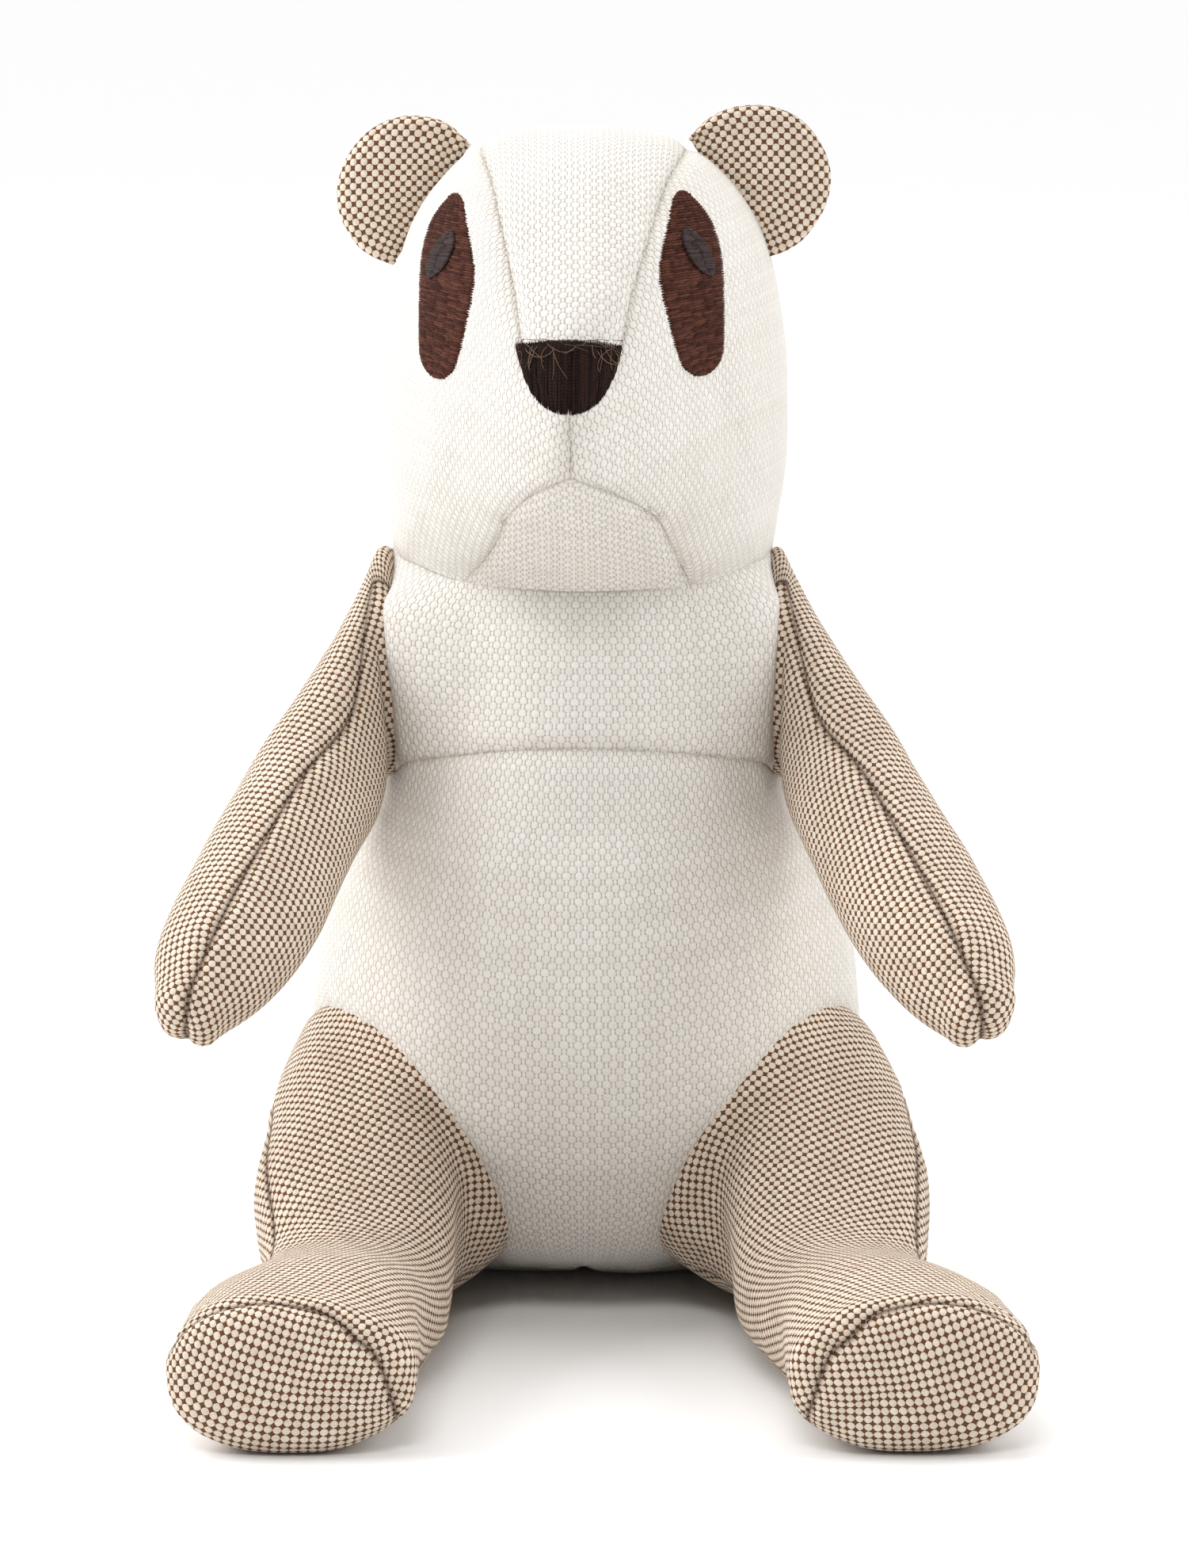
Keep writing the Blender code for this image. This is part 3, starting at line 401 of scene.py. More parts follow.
def evened(data, move, turns):
    """Averages a movement over neighbouring vertices; the seams stay where they are."""
    pairs = np.array([e.vertices[:] for e in data.edges])
    held = np.unique([v for e in data.edges if e.use_seam for v in e.vertices])
    count = np.bincount(pairs.reshape(-1), minlength=len(move))[:, None]
    for _ in range(turns):
        total = np.zeros_like(move)
        np.add.at(total, pairs[:, 0], move[pairs[:, 1]])
        np.add.at(total, pairs[:, 1], move[pairs[:, 0]])
        move = 0.4 * move + 0.6 * total / np.maximum(count, 1)
        if len(held):
            move[held] = 0.0
    return move


def stuffed(objects):
    """Fills the bodies: air pressure swells the cloth between its seams, all in one simulation."""
    start = {}
    for obj, _ in objects:
        start[obj.name] = coordinates(obj.data)
        mesh = opened(obj.data)
        held = {v.index for v in mesh.verts if v.is_boundary or any(e.seam for e in v.link_edges)}
        mesh.free()
        obj.vertex_groups.new(name="pins").add(sorted(held), 1.0, "REPLACE")
        shell = obj.modifiers.new("cloth", "CLOTH")
        set_all(shell.settings, **CLOTH)
        shell.settings.effector_weights.gravity = 0
        shell.collision_settings.use_collision = False
        set_all(shell.point_cache, frame_start=1, frame_end=CLOTH_FRAMES)
    scene = bpy.context.scene
    for number in range(1, CLOTH_FRAMES + 1):
        scene.frame_set(number)
    graph = bpy.context.evaluated_depsgraph_get()
    for obj, cap in objects:
        result = bpy.data.meshes.new_from_object(obj.evaluated_get(graph))
        move = evened(obj.data, coordinates(result) - start[obj.name], EVENING_TURNS)
        move *= root_fade(obj.name, start[obj.name])[:, None]
        far = np.linalg.norm(move, axis=1)
        scale = cap * np.tanh(far / cap) / np.maximum(far, 1e-9)
        bpy.data.meshes.remove(result)
        obj.modifiers.clear()
        obj.vertex_groups.clear()
        set_coordinates(obj.data, start[obj.name] + move * scale[:, None])
    scene.frame_set(1)


def turning(middle, before, after):
    """The turn in degrees of a line at its middle point."""
    a, b = middle - before, after - middle
    return math.degrees(math.acos(max(-1.0, min(1.0, float(a @ b / np.linalg.norm(a) / np.linalg.norm(b))))))


def closest(places, points):
    """The distance from every place to the nearest of the points, and that point's number."""
    tree = KDTree(len(points))
    for k, point in enumerate(points):
        tree.insert(point, k)
    tree.balance()
    found = [tree.find(place) for place in places]
    return np.array([f[2] for f in found]), [f[1] for f in found]


def seam_distances(data):
    """For every vertex: how far the nearest seam is, its place along it, how far a seam corner is."""
    links = {}
    for edge in data.edges:
        if edge.use_seam:
            a, b = edge.vertices
            links.setdefault(a, []).append(b)
            links.setdefault(b, []).append(a)
    co = coordinates(data)
    along, seen = {}, set()
    ends = [v for v in links if len(links[v]) != 2] or list(links)[:1]
    base = 0.0
    for first in ends + list(links):
        for second in links[first]:
            if (first, second) in seen:
                continue
            base += 1.0
            a, b, run = first, second, base
            along.setdefault(a, run)
            while True:
                seen.add((a, b))
                seen.add((b, a))
                run += float(np.linalg.norm(co[b] - co[a]))
                if b in along:
                    break
                along[b] = run
                onward = [c for c in links[b] if c != a and (b, c) not in seen]
                if len(links[b]) != 2 or not onward:
                    break
                a, b = b, onward[0]
    keys = list(along)
    sharp = [v for v in keys if len(links[v]) != 2 or turning(co[v], *co[links[v]]) > 9.0]
    near, nearest = closest(co, co[keys])
    corner = closest(co, co[sharp])[0] if sharp else np.full(len(co), 1.0)
    return near, np.array([along[keys[k]] for k in nearest]), corner


def ripple(place, seed, pitch):
    """Smooth noise along a seam, from -1 to 1."""
    return np.array([noise.noise((p / pitch, seed, 0.3)) for p in place]) * 1.6


def dressed(obj, depth, pucker, lumps, floor=True):
    """Seam grooves, puckers that run out from them, and the stuffing's soft lumps."""
    data = obj.data
    near, place, corner = seam_distances(data)
    calm = 0.25 + 0.75 * np.clip(corner / CALM_CORNER, 0, 1)
    co, out = coordinates(data), coordinates(data, "vertex_normals", "vector")
    seed = sum(ord(c) for c in obj.name) % 97
    groove = -depth * np.exp(-(near / SEAM_WIDTH) ** 2) * (0.5 + 0.5 * calm)
    shoulder = 0.35 * depth * np.exp(-((near - 0.0036) / 0.0024) ** 2)
    off_seam = 1 - np.exp(-(near / 0.0012) ** 2)
    pulls = pucker * ripple(place, seed, 0.0062) * np.exp(-near / 0.0065) * off_seam
    folds = pucker * 0.8 * ripple(place, seed + 40, 0.017) * np.exp(-near / 0.014)
    soft = np.array([noise.noise(Vector(p) * 45.0 + Vector((seed, 0, 0))) for p in co]) * lumps
    fine = np.array([noise.noise(Vector(p) * 160.0 + Vector((0, seed, 0))) for p in co]) * lumps * 0.22
    move = groove + (shoulder + pulls + folds) * calm + soft + fine
    co = co + out * (move * root_fade(obj.name, co))[:, None]
    if floor:
        co[:, 2] = np.maximum(co[:, 2], FLOOR_GAP)
    set_coordinates(data, co)
    # A seam mask, 1 on the seam line and fading within about a millimetre, for painted shade in the seam
    # grooves
    attribute = data.attributes.new("seam", "FLOAT", "POINT")
    attribute.data.foreach_set("value", np.exp(-(near / 0.0011) ** 2).astype(np.float32))


def panels(body, names, stuff):
    """Cuts a body into its panels, each a closed skin of its own."""
    skin = THIN_SKIN if body.name.startswith(("ear", "arm")) else SKIN
    made = []
    for number, name in enumerate(names):
        mesh = opened(body.data)
        layer = mesh.faces.layers.int["panel"]
        bmesh.ops.delete(mesh, geom=[f for f in mesh.faces if f[layer] != number], context="FACES")
        obj = as_object(name, mesh)
        applied(obj, "SOLIDIFY", thickness=skin, offset=-1)
        obj.data.transform(Matrix.Translation(SHIFT))
        obj.data.shade_smooth()
        obj.data.materials.clear()
        obj.data.materials.append(stuff)
        made.append(obj)
    bpy.data.objects.remove(body)
    return made


# ---- torso

def chest_seam(angle):
    return CHEST_SEAM_MIDDLE - CHEST_SEAM_DROP * min(1.0, abs(math.sin(angle / 2) / math.sin(0.6)) ** 2)


def neck_height(angle):
    """Height at which the neck seam plane meets the torso."""
    z = NECK_LOCAL.z
    for _ in range(6):
        p = TORSO.point(angle, z)
        z = NECK_LOCAL.z - (p[1] - NECK_LOCAL.y) * NECK_NORMAL.y / NECK_NORMAL.z
    return z


def shoulder_frame(name, side):
    """The shoulder seam: its middle, its normal and its long and short ways."""
    point, normal = joint_plane("shoulder_" + name, side)
    upright = (Vector((0, 0, 1)) - normal * normal.z).normalized()
    rearward = upright.cross(normal) * side
    long_way = upright * math.cos(SHOULDER_LEAN) + rearward * math.sin(SHOULDER_LEAN)
    short_way = rearward * math.cos(SHOULDER_LEAN) - upright * math.sin(SHOULDER_LEAN)
    return [np.array(v) for v in (point, normal, long_way, short_way)]


def armhole_rise(angle, side):
    """How far the armhole seam stands off its plane, by the angle from its top towards the back."""
    turn = (np.degrees(angle) + 62.0 + 180.0) % 360.0 - 180.0
    return np.where(np.abs(turn) < 108.0, ARMHOLE_RISE[side] * np.cos(np.radians(turn / 1.2)) ** 2, 0.0)


def build_torso():
    columns, side_columns = 84, 24
    turns = [2 * math.pi * k / columns for k in range(columns)]
    angles = [a - 2 * math.pi if a > math.pi else a for a in turns]
    foot = np.array([TORSO.point(a, 0.0) for a in angles])
    middle = np.array([0.0, (TORSO.front[0] + TORSO.back[0]) / 2, 0.0])
    rows = [middle + (foot - middle) * s for s in (0.0, 0.2, 0.4, 0.6, 0.8)]
    rows += [[TORSO.point(a, z) for a in angles] for z in (0.0, 0.0015, 0.0035)]
    under = len(rows)
    seams = [chest_seam(a) for a in angles]
    tops = [neck_height(a) for a in angles]
    for s in np.linspace(0, 1, 29)[:-1] ** 0.92:
        rows.append([TORSO.point(a, BELLY_EDGE * (1 - s) + c * s) for a, c in zip(angles, seams)])
    chest = len(rows)
    for s in np.linspace(0, 1, 12):
        rows.append([TORSO.point(a, c * (1 - s) + t * s) for a, c, t in zip(angles, seams, tops)])
    top = np.array(rows[-1])
    inward = (top - np.array(NECK_LOCAL)) * (1, 1, 0)
    inward /= np.linalg.norm(inward, axis=1)[:, None]
    rows += [top - inward * inset + np.array(NECK_NORMAL) * rise for inset, rise in NECK_COLLAR]

    def panel_of(i, j):
        if i < under or side_columns <= j < columns - side_columns:
            return 2 if j < columns // 2 else 3
        return 0 if i < chest else 1

    body = welded("torso", [surface(rows, True, panel_of)], Vector((0, TORSO_MIDDLE, 0.075)))
    co = coordinates(body.data)
    for label, side in SIDES:
        normal = np.array(JOINTS["hip_" + label]["axis"])
        normal *= np.sign(normal[0] * side)
        far = (co - np.array(joint_plane("hip_" + label, side)[0])) @ normal
        co = co - np.where(far > -HIP_GAP, far + HIP_GAP, 0.0)[:, None] * normal
        far, around, normal = armhole(label, side, co)
        share = np.clip((ARMHOLE_REACH - around) / (ARMHOLE_REACH - 1), 0, 1)
        neck = NECK_LOCAL.z - 0.001 - (co[:, 1] - NECK_LOCAL.y) * NECK_NORMAL.y / NECK_NORMAL.z
        below = np.clip((neck - co[:, 2]) / 0.005, 0, 1)
        pull = share * share * (3 - 2 * share) * below * (co[:, 0] * side > 0)
        co = co - ((far + ARMHOLE_GAP) * pull)[:, None] * normal
    set_coordinates(body.data, co)
    unwrapped(body, [UP] * 4)
    return body


# ---- head

def neck_ring_point(angle):
    across = Vector((1.0, 0.0, 0.0))
    ahead = across.cross(NECK_NORMAL).normalized()
    return HEAD.reach(NECK_LOCAL, [ahead * math.cos(angle) + across * math.sin(angle)])[0]


def crown_point(degrees):
    angle = math.radians(degrees)
    middle = Vector(HEAD.reach(HEAD_CENTRE, [(0.0, -math.cos(angle), math.sin(angle))])[0])
    knots, widths = zip(*CROWN_HALF_WIDTH)
    middle.x = float(smooth_through(knots, widths, degrees))
    return HEAD.reach(HEAD_CENTRE, [middle - HEAD_CENTRE])[0]


CHIN_ROWS, CHIN_COLUMNS, CROWN_ROWS, CHEEK_COLUMNS, GUSSET_COLUMNS = 9, 12, 30, 18, 10


def chin_rows(angle):
    columns = range(CHIN_COLUMNS + 1)
    lower = [neck_ring_point(angle * (2 * k / CHIN_COLUMNS - 1)) for k in columns]
    upper = []
    for k in columns:
        across = 2 * k / CHIN_COLUMNS - 1
        fall = (MOUTH_MIDDLE - MOUTH_CORNER[1]) * abs(across) ** 1.25
        upper.append(HEAD.front_point(MOUTH_CORNER[0] * across, MOUTH_MIDDLE - fall))
    return [list(row) for row in zip(*ruled(lower, upper, CHIN_ROWS))]


def ruled(start, end, columns, bows=None):
    """Rows across the head between two seams, laid on its surface; each may bow to the cheek."""
    rows = []
    centre = np.array(HEAD_CENTRE)
    for i, (a, b) in enumerate(zip(start, end)):
        ray_a, ray_b = np.array(a) - centre, np.array(b) - centre
        if np.linalg.norm(ray_a - ray_b) < WELD:
            rows.append([a] * (columns + 1))
            continue
        bend = (ray_a + ray_b) / 2
        if bows:
            cheek = np.array(CHEEK_RAY) * (math.copysign(1.0, b[0]), 1.0, 1.0)
            bend = bend * (1 - bows[i]) + cheek * bows[i]
        steps = [k / columns for k in range(columns + 1)]
        row = list(HEAD.reach(centre, [ray_a * (1 - t) ** 2 + bend * 2 * t * (1 - t) + ray_b * t * t
                                       for t in steps]))
        row[0], row[-1] = a, b
        rows.append(row)
    return rows


def mirrored(points):
    return [np.array([-p[0], p[1], p[2]]) for p in points]


def build_head():
    chin_angle = math.asin(CHIN_HALF_WIDTH / NECK_RADIUS)
    chin = chin_rows(chin_angle)
    side = [row[-1] for row in chin]
    mouth = chin[-1][CHIN_COLUMNS // 2:-1]
    lip = [HEAD.front_point(0.0, z) for z in np.linspace(MOUTH_MIDDLE, NOSE_FOOT, 5)[1:]]
    steps = np.linspace(0, 1, 6)[1:]
    nose_edge = [smooth_through((0.0, 0.55, 1.0), values, steps) for values in zip(*NOSE_SIDE)]
    nose = [HEAD.front_point(x, z) for x, z in zip(*nose_edge)]
    angles = np.linspace(CROWN_HALF_WIDTH[0][0], CROWN_HALF_WIDTH[-1][0], CROWN_ROWS + 1)[1:-1]
    end_angle = math.pi - math.asin(CROWN_HALF_WIDTH[-1][1] / NECK_RADIUS)
    crown = nose + [crown_point(a) for a in angles] + [neck_ring_point(end_angle)]
    inner = side + mouth[::-1] + lip + crown
    lengths = np.cumsum([0] + [float(np.linalg.norm(b - a)) for a, b in zip(inner, inner[1:])])
    neck = [neck_ring_point(chin_angle + (end_angle - chin_angle) * s) for s in lengths / lengths[-1]]
    last = len(inner) - 1
    front = CHIN_ROWS + CHIN_COLUMNS // 2 + len(lip) + len(nose)
    bows = [min(i / CHIN_ROWS, (last - i) / (last - front), 1.0) for i in range(last + 1)]
    centre = np.array(HEAD_CENTRE)
    grids = [ruled(mirrored([lip[-1]] + crown), [lip[-1]] + crown, GUSSET_COLUMNS), chin]
    for edges in ((inner, neck), (mirrored(inner), mirrored(neck))):
        grid = np.array(ruled(*edges, CHEEK_COLUMNS, bows))
        for turn in range(90):
            near = grid[:-2, 1:-1] + grid[2:, 1:-1] + grid[1:-1, :-2] + grid[1:-1, 2:]
            grid[1:-1, 1:-1] = near / 4
            if turn % 6 == 5:
                rays = grid[1:-1, 1:-1].reshape(-1, 3) - centre
                grid[1:-1, 1:-1] = HEAD.reach(centre, rays).reshape(near.shape)
        grids.append(grid)
    surfaces = [surface(grid, False, lambda i, j, panel=panel: panel) for panel, grid in enumerate(grids)]
    body = welded("head", surfaces, HEAD_CENTRE)
    co = coordinates(body.data)
    corner_x, corner_z = -MOUTH_CORNER[0] - 0.002, MOUTH_CORNER[1] - 0.003
    share = np.exp(-((co[:, 0] - corner_x) / 0.009) ** 2 - ((co[:, 2] - corner_z) / 0.011) ** 2)
    above = (co - np.array(NECK_LOCAL)) @ np.array(NECK_NORMAL)
    share *= (co[:, 1] < HEAD_CENTRE.y) * np.clip(above / 0.006, 0, 1)
    moved = share > 0.01
    rays = (co + share[:, None] * (MOUTH_SKEW, 0, 0) - centre)[moved]
    co[moved] = HEAD.reach(centre, rays)
    set_coordinates(body.data, co)
    body.data.transform(HEAD_SPIN)
    close_neck(body)
    unwrapped(body, [(0, -0.6, 0.8), UP, UP, UP])
    return body


def close_neck(body):
    """Turns the head's lower edge in, under the neck seam."""
    mesh = opened(body.data)
    layer = mesh.faces.layers.int["panel"]
    rim = [(*e.verts, e.link_faces[0][layer]) for e in mesh.edges if e.is_boundary]
    for inset, rise in ((0.0012, -0.0003), (0.006, 0.0006)):
        inner = {}
        for v in dict.fromkeys(v for a, b, _ in rim for v in (a, b)):
            inward = Vector((NECK_LOCAL.x - v.co.x, NECK_LOCAL.y - v.co.y, 0)).normalized()
            inner[v] = mesh.verts.new(v.co + inward * inset + NECK_NORMAL * rise)
        for a, b, panel in rim:
            mesh.faces.new((a, b, inner[b], inner[a]))[layer] = panel
        rim = [(inner[a], inner[b], panel) for a, b, panel in rim]
    oriented(mesh, HEAD_CENTRE)
    mesh.to_mesh(body.data)
    mesh.free()


# ---- ears

def build_ear(name, side):
    top, low = (Vector((side * x + EAR_SHIFT, y, z)) for x, y, z in (EAR_BASE_TOP, EAR_BASE_LOW))
    along = (low - top).normalized()
    away = along.cross(Vector((0.0, 1.0, 0.0))) * side
    middle = (top + low) / 2
    base, full = EAR_THICK
    surfaces = []
    rows, columns = 11, 26
    for face, panel in ((-1, 0), (1, 1)):
        grid = []
        for k in range(rows + 1):
            out_share = math.sin(math.pi / 2 * k / rows)
            bulge = base + (full - base) * math.sin(math.pi / 2 * min(1, out_share * 2))
            row = []
            for j in range(columns + 1):
                turn = math.pi * j / columns
                level = max(0.0, math.sin(turn)) ** EAR_POWER
                half = EAR_HALF_WIDTH * (0.92 + 0.08 * min(1, level * 2.5))
                rim = -half * bulged(math.cos(turn), EAR_POWER)
                across = EAR_CENTRE[side] + rim * (1 - (1 - out_share) * 0.06)
                out = EAR_START + (EAR_LENGTH[side] - EAR_START) * level * out_share
                to_edge = (1 - out_share ** 5) * (1 - abs(2 * j / columns - 1) ** 12)
                thick = bulge * math.sqrt(max(0.0, to_edge))
                spot = middle + along * across + away * out + Vector((0, face * thick / 2, 0))
                row.append(np.array(HEAD_SPIN @ spot))
            grid.append(row)
        surfaces.append(surface(grid, False, lambda i, j, panel=panel: panel))
    body = welded("ear_" + name, surfaces, HEAD_SPIN @ (middle + away * 0.01))
    unwrapped(body, [UP, UP])
    return body


# ---- arms and legs

def seam_shift(angle, amount, seam):
    """Turns the columns near a seam back by an amount in degrees."""
    off = (math.degrees(angle) - seam + 180.0) % 360.0 - 180.0
    return angle - math.radians(amount) * math.exp(-(off / 62.0) ** 2)


def section_ring(centre, axis, side, sizes, power, columns, shift, seam):
    """An oval ring about a centre: angle 0 is up, and a quarter turn is outward."""
    outward_half, inward_half, up_half, down_half = sizes
    axis = Vector(axis).normalized()
    up = (Vector((0, 0, 1)) - axis * axis.z).normalized()
    out = up.cross(axis) * side
    ring = []
    for k in range(columns):
        a = seam_shift(2 * math.pi * k / columns, shift, seam)
        s, c = bulged(math.sin(a), 2 / power), bulged(math.cos(a), 2 / power)
        across = s * (outward_half if s > 0 else inward_half)
        rise = c * (up_half if c > 0 else down_half)
        ring.append(np.array(Vector(centre) + out * across + up * rise))
    return ring


def joint_plane(name, side):
    point = Vector(JOINTS[name]["pos_m"]) - SHIFT
    normal = Vector(JOINTS[name]["axis"]).normalized()
    return point, normal if normal.x * side > 0 else -normal


def build_arm(name, side):
    columns = 44
    shoulder, normal, long_way, short_way = shoulder_frame(name, side)
    rings = []
    for size, sink in ((0.0, 0.0022), (0.6, 0.0022), (0.93, 0.0018), (1.0, 0.0008), (1.0, -0.0012)):
        ring = []
        for k in range(columns):
            a = seam_shift(2 * math.pi * k / columns, ARM_SEAM_SHIFT[0], -ARM_SEAM)
            lift = float(armhole_rise(a, side)) * size * size - sink
            place = shoulder + normal * lift + long_way * SHOULDER_LONG * size * math.cos(a)
            ring.append(place + short_way * SHOULDER_SHORT * size * math.sin(a))
        rings.append(ring)
    places = [Vector((side * p[0], p[1], p[2])) for p, *_ in ARM_SECTIONS]
    tip = Vector((side * ARM_TIP[0], ARM_TIP[1], ARM_TIP[2]))
    axes = [b - a for a, b in zip(places, places[1:] + [tip])]
    for (_, out, inward, up), place, axis, shift in zip(ARM_SECTIONS, places, axes, ARM_SEAM_SHIFT[1:]):
        sizes = (out, inward, up, up)
        rings.append(section_ring(place, axis, side, sizes, 2.0, columns, shift, -ARM_SEAM))
    rows = spline_rows(rings, (2, 1, 1, 1, 6, 5, 6, 4, 3))
    for k in range(5, 11):
        swell = ARM_SWELL[side] * math.sin(math.pi * (k - 4) / 7)
        for j in range(columns):
            share = max(0.0, math.cos(2 * math.pi * j / columns - 0.5)) ** 2
            rows[k][j] = rows[k][j] + np.array([0.8 * side, 0.0, 0.6]) * swell * share
    end, last = np.array(places[-1]), np.array(rings[-1])
    for turn in np.linspace(0, math.pi / 2, 7)[1:]:
        rows.append(end + (last - end) * math.cos(turn) + (np.array(tip) - end) * math.sin(turn))
    seam = -round(columns * ARM_SEAM / 360)
    half = columns // 2
    skin = surface(rows, True, lambda i, j: 0 if (j - seam) % columns < half else 1)
    body = welded("arm_" + name, [skin], places[1])
    unwrapped(body, [UP, UP])
    return body


def build_leg(name, side):
    columns = 60
    hip, normal = joint_plane("hip_" + name, side)
    up = (Vector((0, 0, 1)) - normal * normal.z).normalized()
    out = up.cross(normal) * side
    angles = [seam_shift(2 * math.pi * k / columns, LEG_SEAM_SHIFT[0], LEG_SEAM) for k in range(columns)]
    root = list(TORSO.reach(hip, [up * math.cos(a) + out * math.sin(a) for a in angles]))
    middle = np.array(hip)
    rings = [[middle + (p - middle) * size - np.array(normal) * sink for p in root]
             for size, sink in ((0.9, 0.003), (0.985, 0.0012))] + [root]
    places = []
    for place, *_ in LEG_SECTIONS:
        shift = FEET_SHIFT[side] * place[1] / LEG_SECTIONS[-1][0][1]
        places.append(Vector((side * place[0] + shift, place[1], place[2])))
    ahead = Vector((0, -1, 0))
    axes = [(normal + 2 * ahead).normalized()] + [ahead] * (len(places) - 1)
    for (_, *sizes, power), place, axis, shift in zip(LEG_SECTIONS, places, axes, LEG_SEAM_SHIFT[1:]):
        rings.append(section_ring(place, axis, side, sizes, power, columns, shift, LEG_SEAM))
    angles = [2 * math.pi * k / columns for k in range(columns)]
    rows = rings[:2] + spline_rows(rings[2:], (9, 8, 8, 5))
    haunch_way = np.array(up * math.cos(HAUNCH_ANGLE) + out * math.sin(HAUNCH_ANGLE))
    for k in range(3, 11):
        swell = HAUNCH_SWELL * math.sin(math.pi * ((k - 2) / 9) ** 0.7)
        for j, a in enumerate(angles):
            rows[k][j] = rows[k][j] + haunch_way * swell * max(0.0, math.cos(a - HAUNCH_ANGLE)) ** 2
    end, toe = np.array(places[-1]), np.array(rows[-1])
    degrees = [math.degrees(a) - (360 if a > math.pi else 0) for a in angles]
    seam = smooth_through([d for d, _ in TOE_SEAM], [t for _, t in TOE_SEAM], degrees)
    share = np.concatenate([np.linspace(0, 1, 5)[1:], 1 + np.linspace(0, 1, 13)[1:]])
    toe_row = len(rows) + 3
    for s in share:
        t = np.where(s <= 1, seam * s, seam + (4 - seam) * (s - 1))
        size = smooth_through(range(5), SOLE_SIZES, t)[:, None]
        depth = smooth_through(range(5), SOLE_DEPTHS, t)[:, None]
        rows.append(end + (toe - end) * size + depth * (0.0, 1.0, 0.0))
    rows = np.array(rows)
    rows[:, :, 2] = np.maximum(rows[:, :, 2], 0.0)
    outer, inner = round(columns * LEG_SEAM / 360), columns - round(columns * INNER_SEAM / 360)
    skin = surface(rows, True, lambda i, j: 1 if i >= toe_row or outer <= j < inner else 0)
    body = welded("leg_" + name, [skin], places[1])
    unwrapped(body, [ahead, (0, -0.3, 1.0)], side * LEG_GRAIN)
    return body


# ---- materials

class Value:
    """A shader value that takes part in sums as a number does."""

    def __init__(self, paint, socket):
        self.paint, self.socket = paint, socket

    def __add__(self, other):
        return self.paint.math("ADD", self, other)

    def __sub__(self, other):
        return self.paint.math("SUBTRACT", self, other)

    def __rsub__(self, other):
        return self.paint.math("SUBTRACT", other, self)

    def __mul__(self, other):
        return self.paint.math("MULTIPLY", self, other)

    def __truediv__(self, other):
        return self.paint.math("DIVIDE", self, other)


class Paint:
    """The node tree of a material or world, with short calls for its nodes."""

    def __init__(self, owner, shader="Principled BSDF"):
        owner.use_nodes = True
        self.owner, self.tree = owner, owner.node_tree
        self.shader = self.tree.nodes[shader]

    def put(self, socket, value):
        if isinstance(value, Value):
            self.tree.links.new(value.socket, socket)
        elif value is not None:
            socket.default_value = value

    def node(self, kind, inputs=(), **settings):
        made = set_all(self.tree.nodes.new(kind), **settings)
        for socket, value in zip(made.inputs, inputs):
            self.put(socket, value)
        return made

    def read(self, kind, output, inputs=(), **settings):
        return Value(self, self.node(kind, inputs, **settings).outputs[output])

    def math(self, operation, *values):
        return self.read("ShaderNodeMath", 0, values, operation=operation)

    def dome(self, value):
        """1 at 0, and round as a circle down to 0 at 1."""
        return self.math("SQRT", self.math("MAXIMUM", 1.0 - value, 0.0))

    def span(self, value, low, high, to_low=0.0, to_high=1.0):
        values = (value, low, high, to_low, to_high)
        return self.read("ShaderNodeMapRange", 0, values, interpolation_type="SMOOTHSTEP")

    def mix(self, share, a, b, blend="MIX"):
        colours = [c if isinstance(c, Value) else (*c, 1.0) for c in (a, b)]
        values = (share, None, None, None, None, None, *colours)
        return self.read("ShaderNodeMix", 2, values, data_type="RGBA", blend_type=blend)

    def split(self, vector):
        return [Value(self, socket) for socket in self.node("ShaderNodeSeparateXYZ", (vector,)).outputs]

    def noise(self, vector, scale, detail=2.0, rough=0.5):
        return self.read("ShaderNodeTexNoise", "Fac", (vector, None, scale, detail, rough))

    def random(self, value):
        return self.read("ShaderNodeTexWhiteNoise", "Value", (None, value), noise_dimensions="1D")

    def bump(self, height, distance):
        made = self.read("ShaderNodeBump", 0, (1.0, distance, None, height))
        self.put(self.shader.inputs["Normal"], made)

    def finish(self, colour, roughness, sheen=0.0):
        settings = {"Base Color": colour, "Roughness": roughness, "Sheen Weight": sheen,
                    "Sheen Roughness": 0.6, "Specular IOR Level": 0.12}
        for key, value in settings.items():
            self.put(self.shader.inputs[key], value)
        return self.owner


